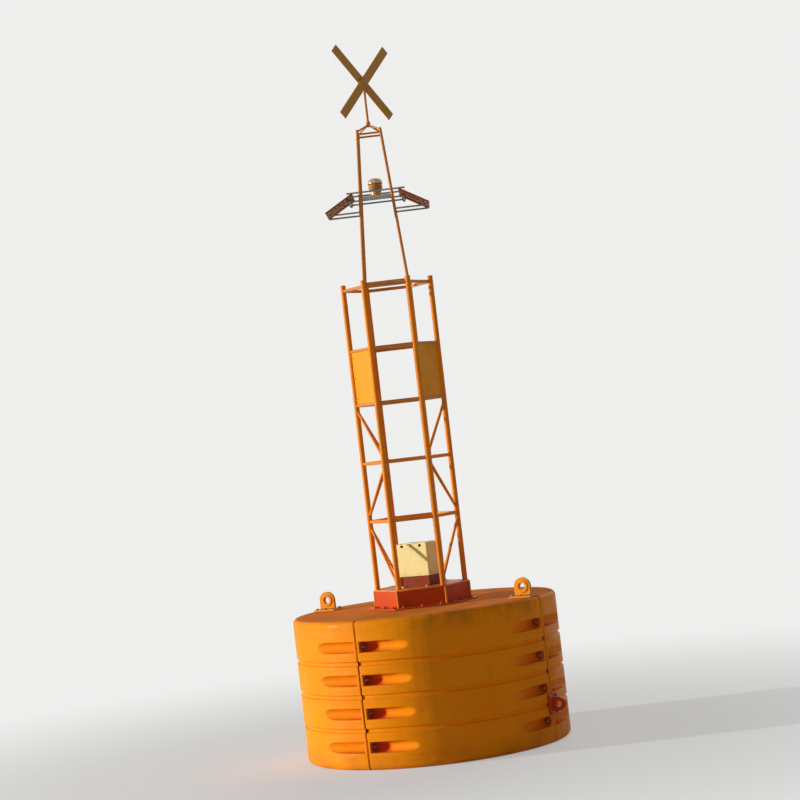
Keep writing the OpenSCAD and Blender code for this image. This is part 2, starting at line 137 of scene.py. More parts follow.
def linear(colour: Colour, gain: float = 1.0) -> Linear:
    """Turns a display colour into scene-linear values.

    Args:
        colour: Red, green and blue, 0 to 255.
        gain: Factor on the linear values.

    Returns:
        The colour as four linear numbers.
    """
    parts = []
    for value in colour:
        share = value / 255.0
        low = share / 12.92
        high = ((share + 0.055) / 1.055) ** 2.4
        parts.append(min(1.0, gain * (low if share <= 0.04045 else high)))
    return (parts[0], parts[1], parts[2], 1.0)


# Finishes


class Graph:
    """Lays out the node tree of one material."""

    def __init__(self, name: str) -> None:
        """Starts a tree with an output, a Principled shader and object coordinates.

        Args:
            name: Name of the material.
        """
        self.material = bpy.data.materials.new(name)
        self.material.use_nodes = True
        self.nodes = self.material.node_tree.nodes
        self.links = self.material.node_tree.links
        self.nodes.clear()
        self.output = self.nodes.new("ShaderNodeOutputMaterial")
        self.shader = self.nodes.new("ShaderNodeBsdfPrincipled")
        self.links.new(self.shader.outputs[0], self.output.inputs[0])
        self.place = self.nodes.new("ShaderNodeTexCoord").outputs["Object"]

    def feed(self, socket: Socket, value: object) -> None:
        """Links a socket to another, or sets it to a plain value.

        Args:
            socket: The socket that is fed.
            value: Another socket, a plain value, or None to leave it as it is.
        """
        if isinstance(value, bpy.types.NodeSocket):
            self.links.new(value, socket)
        elif value is not None:
            socket.default_value = value

    def math(self, kind: str, first: object, second: object = 0.0) -> Socket:
        """Adds one arithmetic step.

        Args:
            kind: The operation's name.
            first: First value or socket.
            second: Second value or socket.

        Returns:
            The socket of the result.
        """
        node = self.nodes.new("ShaderNodeMath")
        node.operation = kind
        self.feed(node.inputs[0], first)
        self.feed(node.inputs[1], second)
        return node.outputs[0]

    def stretch(self, x: float, y: float, z: float, turn: float = 0.0) -> Socket:
        """Scales the object coordinates, after a turn about the vertical axis.

        Args:
            x: Factor along X.
            y: Factor along Y.
            z: Factor along Z.
            turn: Turn in degrees.

        Returns:
            The socket of the new coordinates.
        """
        node = self.nodes.new("ShaderNodeMapping")
        node.inputs["Scale"].default_value = (x, y, z)
        node.inputs["Rotation"].default_value = (0.0, 0.0, math.radians(turn))
        self.feed(node.inputs["Vector"], self.place)
        return node.outputs[0]

    def noise(self, scale: float, detail: float = 4.0, rough: float = 0.55,
              place: Socket | None = None, warp: float = 0.0) -> Socket:
        """Adds a noise texture.

        Args:
            scale: Features per metre.
            detail: Number of octaves.
            rough: Weight of the small octaves.
            place: Coordinates, or the object's own.
            warp: Distortion.

        Returns:
            The socket of its value.
        """
        node = self.nodes.new("ShaderNodeTexNoise")
        self.feed(node.inputs["Vector"], place or self.place)
        node.inputs["Scale"].default_value = scale
        node.inputs["Detail"].default_value = detail
        node.inputs["Roughness"].default_value = rough
        node.inputs["Distortion"].default_value = warp
        return node.outputs[0]

    def cells(self, scale: float) -> Socket:
        """Adds flat random values in cells, as zinc spangle has them.

        Args:
            scale: Cells per metre.

        Returns:
            The socket of the cells' colour.
        """
        node = self.nodes.new("ShaderNodeTexVoronoi")
        self.feed(node.inputs["Vector"], self.place)
        node.inputs["Scale"].default_value = scale
        return node.outputs["Color"]

    def ramp(self, value: object, low: float, high: float,
             bottom: float = 0.0, top: float = 1.0) -> Socket:
        """Maps a value smoothly from one range to another.

        Args:
            value: The value or socket.
            low: Value that gives bottom.
            high: Value that gives top.
            bottom: Result at low.
            top: Result at high.

        Returns:
            The socket of the result.
        """
        node = self.nodes.new("ShaderNodeMapRange")
        node.interpolation_type = "SMOOTHSTEP"
        self.feed(node.inputs["Value"], value)
        for name, number in (("From Min", low), ("From Max", high),
                             ("To Min", bottom), ("To Max", top)):
            node.inputs[name].default_value = number
        return node.outputs[0]

    def mix(self, share: object, first: object, second: object) -> Socket:
        """Mixes two colours.

        Args:
            share: Share of the second colour.
            first: First colour or socket.
            second: Second colour or socket.

        Returns:
            The socket of the mixed colour.
        """
        node = self.nodes.new("ShaderNodeMix")
        node.data_type = "RGBA"
        self.feed(node.inputs[MIX_SHARE], share)
        self.feed(node.inputs[MIX_FIRST], first)
        self.feed(node.inputs[MIX_SECOND], second)
        return node.outputs[MIX_RESULT]

    def part(self, vector: Socket, axis: str) -> Socket:
        """Takes one coordinate of a vector.

        Args:
            vector: The vector's socket.
            axis: X, Y or Z.

        Returns:
            The socket of that coordinate.
        """
        node = self.nodes.new("ShaderNodeSeparateXYZ")
        self.feed(node.inputs[0], vector)
        return node.outputs[axis]

    def level(self) -> Socket:
        """Gives the height above the floor."""
        return self.part(self.place, "Z")

    def facing_up(self) -> Socket:
        """Gives how far a surface faces up, from -1 to 1."""
        return self.part(self.nodes.new("ShaderNodeNewGeometry").outputs["Normal"], "Z")

    def stored(self, name: str) -> Socket:
        """Reads a number stored on the mesh's points.

        Args:
            name: Name of the mesh's attribute.

        Returns:
            The socket of the number.
        """
        node = self.nodes.new("ShaderNodeAttribute")
        node.attribute_name = name
        return node.outputs["Fac"]

    def bump(self, layers: Iterable[tuple[Socket, float, float]]) -> None:
        """Stacks bump layers on the shader.

        Args:
            layers: Height socket, strength and distance in metres of each layer.
        """
        last: Socket | None = None
        for height, strength, distance in layers:
            node = self.nodes.new("ShaderNodeBump")
            node.inputs["Strength"].default_value = strength
            node.inputs["Distance"].default_value = distance
            self.feed(node.inputs["Height"], height)
            if last is not None:
                self.feed(node.inputs["Normal"], last)
            last = node.outputs[0]
        if last is not None:
            self.feed(self.shader.inputs["Normal"], last)

    def dress(self, colour: object, roughness: object, **fixed: float) -> bpy.types.Material:
        """Sets the shader and gives the finished material.

        Args:
            colour: Base colour or its socket.
            roughness: Roughness or its socket.
            fixed: Plain numbers for other sockets, named with underscores for spaces.

        Returns:
            The material.
        """
        self.feed(self.shader.inputs["Base Color"], colour)
        self.feed(self.shader.inputs["Roughness"], roughness)
        for name, value in fixed.items():
            self.shader.inputs[name.replace("_", " ")].default_value = value
        return self.material


class Finish(Protocol):
    """Anything that can make one material."""

    name: str

    def build(self) -> bpy.types.Material:
        """Makes the material."""


@dataclass(frozen=True)
class MouldedFloat:
    """Rotation-moulded polyethylene: faded, chalky, scuffed and dirty at its foot, with painted
    shade in the tie channels' closed ends.
    """

    name: str
    colour: Colour
    deep: Colour
    chalk: Colour = (255, 194, 72)
    run: Colour = (122, 66, 22)
    dirt: Colour = (74, 50, 30)
    film: Colour = (128, 84, 18)
    dust: Colour = (206, 106, 64)
    # Dark red of painted shade: the flange's shadow in the tie channels' closed ends
    shade_red: Colour = (222, 60, 24)
    scuff: Colour = (255, 206, 128)
    run_heights: Pair = (0.35, 1.25)
    dirt_heights: Pair = (0.01, 0.24)
    film_heights: Pair = (1.08, 1.27)
    # Where along X the runs and the rim's film fade out, towards -X
    fainter_left_x: Pair = (-0.55, -0.1)

    def build(self) -> bpy.types.Material:
        """Makes the material.

        Returns:
            The material of the float's skin.
        """
        graph = Graph(self.name)
        fade = graph.ramp(graph.noise(0.9, 3.0), 0.36, 0.7, 0.0, 0.55)
        skin = graph.mix(fade, linear(self.colour), linear(self.deep))
        mottle = graph.ramp(graph.noise(14.0, 6.0, 0.62), 0.35, 0.68, 0.0, 0.16)
        skin = graph.mix(mottle, skin, linear(self.colour, 0.72))
        chalk = graph.ramp(graph.noise(2.6, 5.0, 0.6, warp=0.6), 0.52, 0.78, 0.0, 0.07)
        skin = graph.mix(chalk, skin, linear(self.chalk))
        runs = graph.noise(1.0, 6.0, 0.62, graph.stretch(17.0, 17.0, 0.85))
        runs = graph.ramp(runs, 0.55, 0.74, 0.0, 0.34)
        upper = graph.ramp(graph.level(), *self.run_heights, 0.35, 1.0)
        # Runs and the rim's film are fainter towards -X, the side the key light comes from
        fainter_left = graph.ramp(graph.part(graph.place, "X"), *self.fainter_left_x, 0.25, 1.0)
        upper = graph.math("MULTIPLY", upper, fainter_left)
        skin = graph.mix(graph.math("MULTIPLY", runs, upper), skin, linear(self.run))
        low = graph.ramp(graph.level(), *self.dirt_heights, 0.3, 0.0)
        patch = graph.ramp(graph.noise(4.0, 7.0, 0.6), 0.3, 0.7)
        skin = graph.mix(graph.math("MULTIPLY", low, patch), skin, linear(self.dirt))
        rim = graph.ramp(graph.level(), *self.film_heights, 0.0, 0.5)
        rim = graph.math("MULTIPLY", rim, fainter_left)
        film = graph.ramp(graph.noise(1.0, 6.0, 0.62, graph.stretch(5.0, 5.0, 1.6)), 0.4, 0.66)
        skin = graph.mix(graph.math("MULTIPLY", rim, film), skin, linear(self.film))
        deck = graph.ramp(graph.facing_up(), 0.75, 0.98)
        trodden = graph.ramp(graph.noise(6.5, 9.0, 0.72), 0.32, 0.68, 0.16, 0.6)
        skin = graph.mix(graph.math("MULTIPLY", deck, trodden), skin, linear(self.dust))
        # Painted shade: the tie channels' closed ends on the nut side turn dark red, in place of
        # the flange's shadow
        sunk = graph.ramp(graph.stored("recess"), 0.1, 0.95, 0.0, 0.82)
        skin = graph.mix(sunk, skin, linear(self.shade_red))
        scratch = graph.noise(1.0, 3.0, 0.5, graph.stretch(6.0, 9.0, 190.0, 31.0))
        scratch = graph.ramp(scratch, 0.715, 0.74, 0.0, 0.35)
        skin = graph.mix(scratch, skin, linear(self.scuff))
        creases = graph.noise(1.0, 3.0, 0.5, graph.stretch(1.7, 1.7, 11.0), 0.8)
        graph.bump((
            (graph.noise(3.2, 2.0), 0.35, 0.004),
            (creases, 0.5, 0.02),
            (graph.noise(310.0, 2.0, 0.4), 0.10, 0.0012),
            (scratch, -0.2, 0.0006),
        ))
        rough = graph.ramp(graph.noise(5.0, 5.0), 0.3, 0.7, 0.38, 0.6)
        rough = graph.math("MAXIMUM", rough, graph.math("MULTIPLY", deck, 0.9))
        return graph.dress(skin, rough, Specular_IOR_Level=0.07)


@dataclass(frozen=True)
class Paint:
    """Marine paint on steel, with fading, chips, rust runs and salt."""

    name: str
    colour: Colour
    rust: float = 0.5
    salt: float = 0.352
    gloss: float = 0.36
    chip_scale: float = 46.0
    chip_edge: float = 0.71
    rust_gain: float = 0.06
    run: Colour = (126, 52, 20)
    dust: Colour = (196, 172, 140)
    halo: Colour = (150, 62, 22)
    bare: Colour = (58, 30, 18)

    def build(self) -> bpy.types.Material:
        """Makes the material.

        Returns:
            The material of a painted part.
        """
        graph = Graph(self.name)
        fade = graph.ramp(graph.noise(2.3, 3.0), 0.35, 0.7, 0.0, 0.5)
        coat = graph.mix(fade, linear(self.colour), linear(self.colour, 0.74))
        tone = graph.ramp(graph.noise(31.0, 5.0, 0.6), 0.34, 0.7, 0.0, 0.17)
        coat = graph.mix(tone, coat, linear(self.colour, 0.52))
        streak = graph.noise(1.0, 6.0, 0.62, graph.stretch(44.0, 44.0, 1.7))
        streak = graph.ramp(streak, 0.56, 0.75, 0.0, 0.6 * self.rust)
        coat = graph.mix(streak, coat, linear(self.run))
        dust = graph.ramp(graph.facing_up(), 0.3, 0.95)
        dust = graph.math("MULTIPLY", dust, graph.ramp(graph.noise(19.0, 5.0), 0.3, 0.65))
        dust = graph.math("MULTIPLY", dust, self.salt)
        coat = graph.mix(dust, coat, linear(self.dust))
        spots = graph.noise(self.chip_scale, 8.0, 0.68, warp=0.3)
        edge = self.chip_edge - self.rust_gain * self.rust
        chips = graph.ramp(spots, edge, edge + 0.018)
        halo = graph.ramp(spots, edge - 0.05, edge + 0.01, 0.0, 0.55)
        coat = graph.mix(halo, coat, linear(self.halo))
        coat = graph.mix(chips, coat, linear(self.bare))
        graph.bump((
            (graph.noise(240.0, 2.0, 0.45), 0.08, 0.001),
            (graph.noise(28.0, 3.0), 0.16, 0.0016),
            (chips, -0.35, 0.0007),
        ))
        rough = graph.ramp(graph.noise(11.0, 4.0), 0.3, 0.72, self.gloss, self.gloss + 0.22)
        rough = graph.math("MAXIMUM", rough, graph.math("MULTIPLY", chips, 0.86))
        return graph.dress(coat, rough, Specular_IOR_Level=0.14)


@dataclass(frozen=True)
class Zinc:
    """Hot-dip galvanised steel with weathered spangle."""

    name: str
    pale: Colour = (156, 154, 149)
    dark: Colour = (124, 123, 120)
    scale: float = 110.0
    film: Colour = (122, 114, 102)
    stain: Colour = (120, 66, 36)

    def build(self) -> bpy.types.Material:
        """Makes the material.

        Returns:
            The material of galvanised parts and their fasteners.
        """
        graph = Graph(self.name)
        spangle = graph.ramp(graph.part(graph.cells(self.scale), "X"), 0.1, 0.9)
        metal = graph.mix(spangle, linear(self.pale), linear(self.dark))
        cloud = graph.ramp(graph.noise(9.0, 7.0, 0.66), 0.34, 0.7, 0.0, 0.5)
        metal = graph.mix(cloud, metal, linear(self.film))
        streak = graph.noise(1.0, 6.0, 0.62, graph.stretch(52.0, 52.0, 3.0))
        streak = graph.ramp(streak, 0.6, 0.78, 0.0, 0.4)
        metal = graph.mix(streak, metal, linear(self.stain))
        graph.bump(((graph.noise(170.0, 3.0), 0.12, 0.0008), (spangle, 0.05, 0.0004)))
        rough = graph.ramp(graph.noise(23.0, 4.0), 0.3, 0.7, 0.38, 0.62)
        return graph.dress(metal, rough, Metallic=0.72)


@dataclass(frozen=True)
class Bright:
    """Bright metal, brushed along its length: stainless bolts, hinges and busbars."""

    name: str
    colour: Colour = (196, 194, 188)
    rough: float = 0.28
    metallic: float = 0.95
    stain: Colour = (140, 84, 44)

    def build(self) -> bpy.types.Material:
        """Makes the material.

        Returns:
            The material of bright metal.
        """
        graph = Graph(self.name)
        brushed = graph.noise(1.0, 4.0, 0.6, graph.stretch(60.0, 60.0, 900.0))
        tint = graph.ramp(brushed, 0.3, 0.7, 0.0, 0.3)
        metal = graph.mix(tint, linear(self.colour), linear(self.colour, 0.55))
        spots = graph.ramp(graph.noise(64.0, 6.0, 0.66), 0.56, 0.74, 0.0, 0.45)
        metal = graph.mix(spots, metal, linear(self.stain))
        graph.bump(((brushed, 0.08, 0.0004),))
        rough = graph.ramp(graph.noise(40.0, 3.0), 0.3, 0.7, self.rough, self.rough + 0.2)
        return graph.dress(metal, rough, Metallic=self.metallic)


@dataclass(frozen=True)
class SolarGlass:
    """Dark silicon cells under a dusty glass."""

    name: str
    colour: Colour = (22, 30, 58)
    light: Colour = (34, 48, 92)
    dust: Colour = (128, 118, 100)

    def build(self) -> bpy.types.Material:
        """Makes the material.

        Returns:
            The material of the solar cells.
        """
        graph = Graph(self.name)
        grain = graph.part(graph.cells(130.0), "Y")
        cell = graph.mix(grain, linear(self.colour), linear(self.light))
        dust = graph.ramp(graph.noise(8.0, 6.0, 0.62), 0.38, 0.74, 0.02, 0.16)
        cell = graph.mix(dust, cell, linear(self.dust))
        rough = graph.ramp(graph.noise(14.0, 5.0), 0.34, 0.7, 0.16, 0.36)
        return graph.dress(cell, rough, Specular_IOR_Level=0.3, Coat_Weight=0.3,
                           Coat_Roughness=0.08)


@dataclass(frozen=True)
class AmberPlastic:
    """Coloured acrylic or polycarbonate of the lantern."""

    name: str
    colour: Colour
    clear: float = 0.0
    grime: Colour = (96, 54, 26)

    def build(self) -> bpy.types.Material:
        """Makes the material.

        Returns:
            The material of the lantern's plastic.
        """
        graph = Graph(self.name)
        haze = graph.ramp(graph.noise(38.0, 5.0), 0.35, 0.7, 0.0, 0.3)
        tint = graph.mix(haze, linear(self.colour), linear(self.colour, 0.6))
        grime = graph.ramp(graph.noise(70.0, 7.0, 0.66), 0.56, 0.75, 0.0, 0.4)
        tint = graph.mix(grime, tint, linear(self.grime))
        graph.bump(((graph.noise(210.0, 2.0), 0.05, 0.0005),))
        rough = graph.ramp(graph.noise(30.0, 4.0), 0.3, 0.7, 0.14, 0.34)
        return graph.dress(tint, rough, Transmission_Weight=self.clear, IOR=1.49,
                           Coat_Weight=0.35, Coat_Roughness=0.1)


@dataclass(frozen=True)
class Laminate:
    """Cream glass-fibre laminate of the battery box."""

    name: str
    colour: Colour
    stain: Colour = (158, 112, 60)
    splash: Colour = (130, 84, 46)
    splash_heights: Pair = (1.56, 1.62)

    def build(self) -> bpy.types.Material:
        """Makes the material.

        Returns:
            The material of the battery box.
        """
        graph = Graph(self.name)
        cloud = graph.ramp(graph.noise(6.0, 4.0), 0.36, 0.68, 0.0, 0.4)
        shell = graph.mix(cloud, linear(self.colour), linear(self.colour, 0.8))
        stain = graph.noise(1.0, 6.0, 0.62, graph.stretch(40.0, 40.0, 4.0))
        stain = graph.ramp(stain, 0.56, 0.76, 0.0, 0.22)
        shell = graph.mix(stain, shell, linear(self.stain))
        low = graph.ramp(graph.level(), *self.splash_heights, 0.22, 0.0)
        low = graph.math("MULTIPLY", low, graph.ramp(graph.noise(30.0, 5.0), 0.35, 0.65))
        shell = graph.mix(low, shell, linear(self.splash))
        graph.bump((
            (graph.noise(420.0, 2.0), 0.14, 0.0006),
            (graph.noise(12.0, 2.0), 0.2, 0.0016),
        ))
        rough = graph.ramp(graph.noise(20.0, 4.0), 0.3, 0.7, 0.34, 0.54)
        return graph.dress(shell, rough, Specular_IOR_Level=0.45)


@dataclass(frozen=True)
class Coarse:
    """Dull stuff with grain: cast iron, rubber and old nylon."""

    name: str
    colour: Colour
    grain: float = 150.0
    rough: float = 0.75
    metallic: float = 0.0

    def build(self) -> bpy.types.Material:
        """Makes the material.

        Returns:
            The material of a dull part.
        """
        graph = Graph(self.name)
        cloud = graph.ramp(graph.noise(18.0, 6.0, 0.62), 0.34, 0.7, 0.0, 0.6)
        tint = graph.mix(cloud, linear(self.colour), linear(self.colour, 0.45))
        graph.bump(((graph.noise(self.grain, 4.0, 0.6), 0.4, 0.0012),))
        rough = graph.ramp(graph.noise(33.0, 4.0), 0.3, 0.7, self.rough - 0.1, self.rough + 0.1)
        return graph.dress(tint, rough, Metallic=self.metallic)


class Palette:
    """Every finish of the buoy, each made once."""

    FLOAT = MouldedFloat("moulded_float", (253, 149, 7), (240, 126, 5))
    FRAME = Paint("frame_paint", (251, 143, 22), rust=0.55)
    # Duller, paler copy of the frame paint for the upper tower, the mast and the topmark rod:
    # painted shade and painted sky reflection, with more rust
    FRAME_SHADED = Paint("frame_paint_shaded", (222, 142, 62), rust=0.8)
    BASE = Paint("base_paint", (212, 74, 10), rust=0.8, chip_scale=36.0)
    LUG = Paint("lug_paint", (255, 158, 22), rust=0.45)
    DAYMARK = Paint("daymark_paint", (252, 160, 12), rust=0.28, salt=0.176, chip_scale=30.0)
    # Yellow dulled part way towards its look in shade against the sky: partly painted shade
    TOPMARK = Paint("topmark_paint_part_shaded", (212, 152, 74), rust=0.45)
    ZINC = Zinc("galvanised_steel")
    BOLT = Zinc("zinc_fasteners", (150, 146, 138), (92, 88, 82), 240.0)
    STAINLESS = Bright("stainless_steel")
    BUSBAR = Bright("busbars", (205, 205, 200), 0.35)
    CELLS = SolarGlass("solar_cells")
    BACKING = Coarse("cell_backing", (150, 150, 146), 300.0, 0.5)
    # The frame's orange darkened to brown: painted shade on the trays' undersides
    TRAY = Paint("tray_paint_shaded", (172, 84, 44), rust=0.6)
    AMBER = AmberPlastic("lantern_housing", (242, 148, 22))
    DOME = AmberPlastic("lantern_dome", (222, 186, 140), 0.45)
    LENS = AmberPlastic("lantern_glass", (250, 178, 70), 0.35)
    CREAM = Laminate("box_laminate", (253, 232, 150))
    # Darker than the base paint: painted shade under the overhanging battery box
    PLINTH_SHADED = Paint("plinth_paint_shaded", (150, 60, 12), rust=0.8, chip_scale=36.0)
    IRON = Coarse("cast_iron", (74, 66, 60), 120.0, 0.8, 0.4)
    RUBBER = Coarse("black_rubber", (34, 33, 32), 260.0, 0.7)
    WELD_FRAME = Paint("frame_weld", (234, 124, 20), rust=0.95, gloss=0.45)
    WELD_BASE = Paint("base_weld", (176, 60, 14), rust=0.95, gloss=0.45)

    def __init__(self) -> None:
        """Starts with no material made."""
        self.made: dict[str, bpy.types.Material] = {}

    def get(self, finish: Finish) -> bpy.types.Material:
        """Gives the material of a finish, and makes it the first time.

        Args:
            finish: The finish.

        Returns:
            Its material.
        """
        if finish.name not in self.made:
            self.made[finish.name] = finish.build()
        return self.made[finish.name]


# Geometry


@dataclass(frozen=True)
class Tube:
    """A straight round bar between two points of its axis."""

    start: Vector
    end: Vector
    radius: float

    @property
    def along(self) -> Vector:
        """Unit vector from start to end."""
        return (self.end - self.start).normalized()

    def flipped(self) -> Tube:
        """The same bar, run from its other end."""
        return Tube(self.end, self.start, self.radius)


def facing(point: Sequence[float], direction: Sequence[float], turn: float = 0.0) -> Matrix:
    """Places a thing at a point with its Z axis along a direction.

    Args:
        point: Where its origin goes.
        direction: Where its Z axis points.
        turn: Turn about that axis in degrees.

    Returns:
        The placing matrix.
    """
    swing = Vector(direction).to_track_quat("Z", "Y").to_matrix().to_4x4()
    spin = Matrix.Rotation(math.radians(turn), 4, "Z")
    return Matrix.Translation(Vector(point)) @ swing @ spin


def around(azimuth: float, radius: float, height: float) -> Matrix:
    """Places a thing at an azimuth, with its own -Y axis pointing outwards.

    Args:
        azimuth: Degrees from the front towards +X.
        radius: Distance from the mast's axis.
        height: Height above the floor.

    Returns:
        The placing matrix.
    """
    turn = Matrix.Rotation(math.radians(azimuth), 4, "Z")
    return turn @ Matrix.Translation((0.0, -radius, height))


def side_frame(along: Vector) -> tuple[Vector, Vector]:
    """Gives two unit vectors square to a direction and to each other."""
    first = along.orthogonal().normalized()
    return first, along.cross(first).normalized()


class Shape:
    """Points and faces of one piece, gathered from small made solids."""

    def __init__(self) -> None:
        """Starts empty, with the first finish in use."""
        self.points: list[Vector] = []
        self.faces: list[tuple[int, ...]] = []
        self.marks: list[int] = []
        self.finish = 0

    def add(self, points: Iterable[Sequence[float]], faces: Iterable[Sequence[int]],
            place: Matrix = IDENTITY) -> None:
        """Adds a solid.

        Args:
            points: Its points.
            faces: Its faces, by the number of each point.
            place: Where it goes.
        """
        first = len(self.points)
        self.points.extend(place @ Vector(point) for point in points)
        for face in faces:
            self.faces.append(tuple(index + first for index in face))
            self.marks.append(self.finish)

    def lathe(self, profile: Sequence[Pair], place: Matrix,
              sides: int = 24) -> None:
        """Turns a profile of radius and height about the local Z axis.

        Args:
            profile: Radius and height of each ring, from the bottom outwards and up.
            place: Where it goes.
            sides: Number of sides.
        """
        points: list[Point] = []
        rings: list[list[int]] = []
        for radius, height in profile:
            first = len(points)
            if radius < 1e-7:
                points.append((0.0, 0.0, height))
                rings.append([first] * sides)
                continue
            for step in range(sides):
                angle = math.tau * step / sides
                points.append((radius * math.cos(angle), radius * math.sin(angle), height))
            rings.append(list(range(first, first + sides)))
        faces: list[tuple[int, ...]] = []
        for low, high in zip(rings, rings[1:]):
            for step in range(sides):
                after = (step + 1) % sides
                corners = [low[step], low[after], high[after], high[step]]
                kept = list(dict.fromkeys(corners))
                if len(kept) > 2:
                    faces.append(tuple(kept))
        self.add(points, faces, place)

    def collar(self, radius: float, edge: Outline, place: Matrix, sides: int,
               tip: float | None = None) -> None:
        """Turns a cap or a band whose outline follows a pipe.

        Args:
            radius: The pipe's radius.
            edge: Distance outside that radius and height of each ring, from the bottom.
            place: Where it goes.
            sides: Number of sides.
            tip: Height of a cap's middle, or None for a band.
        """
        profile = [(radius + out, height) for out, height in edge]
        if tip is not None:
            profile.append((0.0, tip))
        self.lathe(profile, place, sides)

    def box(self, size: Point, place: Matrix, rounded: float = 0.0, steps: int = 2) -> None:
        """Adds a block centred on its place, with rounded edges.

        Args:
            size: Its three lengths.
            place: Where it goes.
            rounded: Rounding of its edges.
            steps: Faces across a rounding.
        """
        solid = bmesh.new()
        bmesh.ops.create_cube(solid, size=1.0, matrix=Matrix.Diagonal((*size, 1.0)))
        if rounded > 0.0:
            bmesh.ops.bevel(solid, geom=list(solid.edges), offset=rounded, segments=steps,
                            profile=0.5, affect="EDGES", clamp_overlap=True)
        solid.verts.index_update()
        points = [tuple(vert.co) for vert in solid.verts]
        faces = [[vert.index for vert in face.verts] for face in solid.faces]
        solid.free()
        self.add(points, faces, place)

    def sweep(self, path: Sequence[Vector], radii: Sequence[float] | float,
              sides: int = 8, closed: bool = False) -> None:
        """Runs a round section along a path.

        Args:
            path: Points of the centre line.
            radii: Radius all along, or at each point.
            sides: Sides of the section.
            closed: Whether the path meets its own start.
        """
        count = len(path)
        sizes = [radii] * count if isinstance(radii, (int, float)) else list(radii)
        points: list[Vector] = []
        normal: Vector | None = None
        for index, centre in enumerate(path):
            before = path[index - 1] if index or closed else centre
            after = path[(index + 1) % count] if index + 1 < count or closed else centre
            along = (after - before).normalized()
            if normal is None:
                normal = along.orthogonal()
            normal = (normal - along * normal.dot(along)).normalized()
            other = along.cross(normal)
            for step in range(sides):
                angle = math.tau * step / sides
                reach = normal * math.cos(angle) + other * math.sin(angle)
                points.append(centre + reach * sizes[index])
        faces: list[tuple[int, ...]] = []
        for index in range(count if closed else count - 1):
            low, high = index * sides, (index + 1) % count * sides
            for step in range(sides):
                after = (step + 1) % sides
                faces.append((low + step, low + after, high + after, high + step))
        if not closed:
            faces.append(tuple(reversed(range(sides))))
            faces.append(tuple(range((count - 1) * sides, count * sides)))
        self.add(points, faces)

    def fillet(self, bar: Tube, post: Tube, size: float, steps: int = 28) -> None:
        """Lays a weld bead where a bar runs into a post.

        Args:
            bar: The bar, with its start inside the post.
            post: The post.
            size: Radius of the bead.
            steps: Points round the bead.
        """
        along, axis = bar.along, post.along
        first, second = side_frame(along)
        path: list[Vector] = []
        for step in range(steps):
            angle = math.tau * step / steps
            ray = first * math.cos(angle) + second * math.sin(angle)
            start = bar.start + ray * bar.radius - post.start
            flat = start - axis * start.dot(axis)
            run = along - axis * along.dot(axis)
            square, half = run.length_squared, flat.dot(run)
            if square < 1e-9:
                continue
            root = half * half - square * (flat.length_squared - post.radius ** 2)
            reach = (math.sqrt(max(root, 0.0)) - half) / square
            path.append(post.start + start + along * reach + ray * size * 0.25)
        radii = [size * (0.88 + 0.16 * math.sin(2.4 * index)) for index in range(len(path))]
        self.sweep(path, radii, 6, closed=True)

    def seam(self, corners: Sequence[Vector], size: float, pitch: float = 0.006) -> None:
        """Lays a rippled weld bead along straight runs.

        Args:
            corners: Ends of the runs, in order.
            size: Radius of the bead.
            pitch: Distance between two ripples.
        """
        for start, end in zip(corners, corners[1:]):
            count = max(2, round((end - start).length / pitch))
            path = [start.lerp(end, index / count) for index in range(count + 1)]
            radii = [size * (0.9 + 0.2 * (index % 2)) for index in range(count + 1)]
            self.sweep(path, radii, 5)


@dataclass(frozen=True)
class Bolt:
    """A hexagonal head or nut on a washer, in shares of its thread, with its turn in radians."""

    thread: float
    flats: float = 0.87
    tall: float = 0.66
    ring: float = 1.1025
    ring_thick: float = 0.16
    turn: float = 0.35

    def head(self, shape: Shape, place: Matrix, washer: bool = True) -> None:
        """Adds a bolt's head, standing on its place along Z.

        Args:
            shape: The shape that takes it.
            place: Foot of the head.
            washer: Whether a washer lies under it.
        """
        foot = 0.0
        if washer:
            foot = self.ring_thick * self.thread
            ring = self.ring * self.thread
            shape.lathe([(0.0, 0.0), (ring * 0.97, 0.0), (ring, foot * 0.3), (ring, foot * 0.8),
                         (ring * 0.97, foot), (0.0, foot)], place, 24)
        radius = self.flats * self.thread * HEX_CORNER
        top = foot + self.tall * self.thread
        turned = place @ Matrix.Rotation(self.turn, 4, "Z")
        shape.lathe([(0.0, foot), (radius * 0.96, foot), (radius, foot + 0.05 * self.thread),
                     (radius, top - 0.12 * self.thread), (radius * 0.88, top), (0.0, top)],
                    turned, 6)

    def nut(self, shape: Shape, place: Matrix, stick_out: float) -> None:
        """Adds a nut on a washer, with the thread's end above it.

        Args:
            shape: The shape that takes it.
            place: Foot of the washer.
            stick_out: Length of thread above the nut.
        """
        self.head(shape, place)
        low = 0.8 * self.thread
        top = low + stick_out
        radius = self.thread / 2.0
        rings: list[Pair] = [(0.0, low - 0.02 * self.thread)]
        turns = max(2, int(stick_out / (0.16 * self.thread)))
        for index in range(turns + 1):
            height = low + (stick_out - 0.1 * self.thread) * index / turns
            rings.append((radius * (1.0 if index % 2 else 0.9), height))
        rings += [(radius * 0.8, top), (0.0, top)]
        shape.lathe(rings, place, 14)


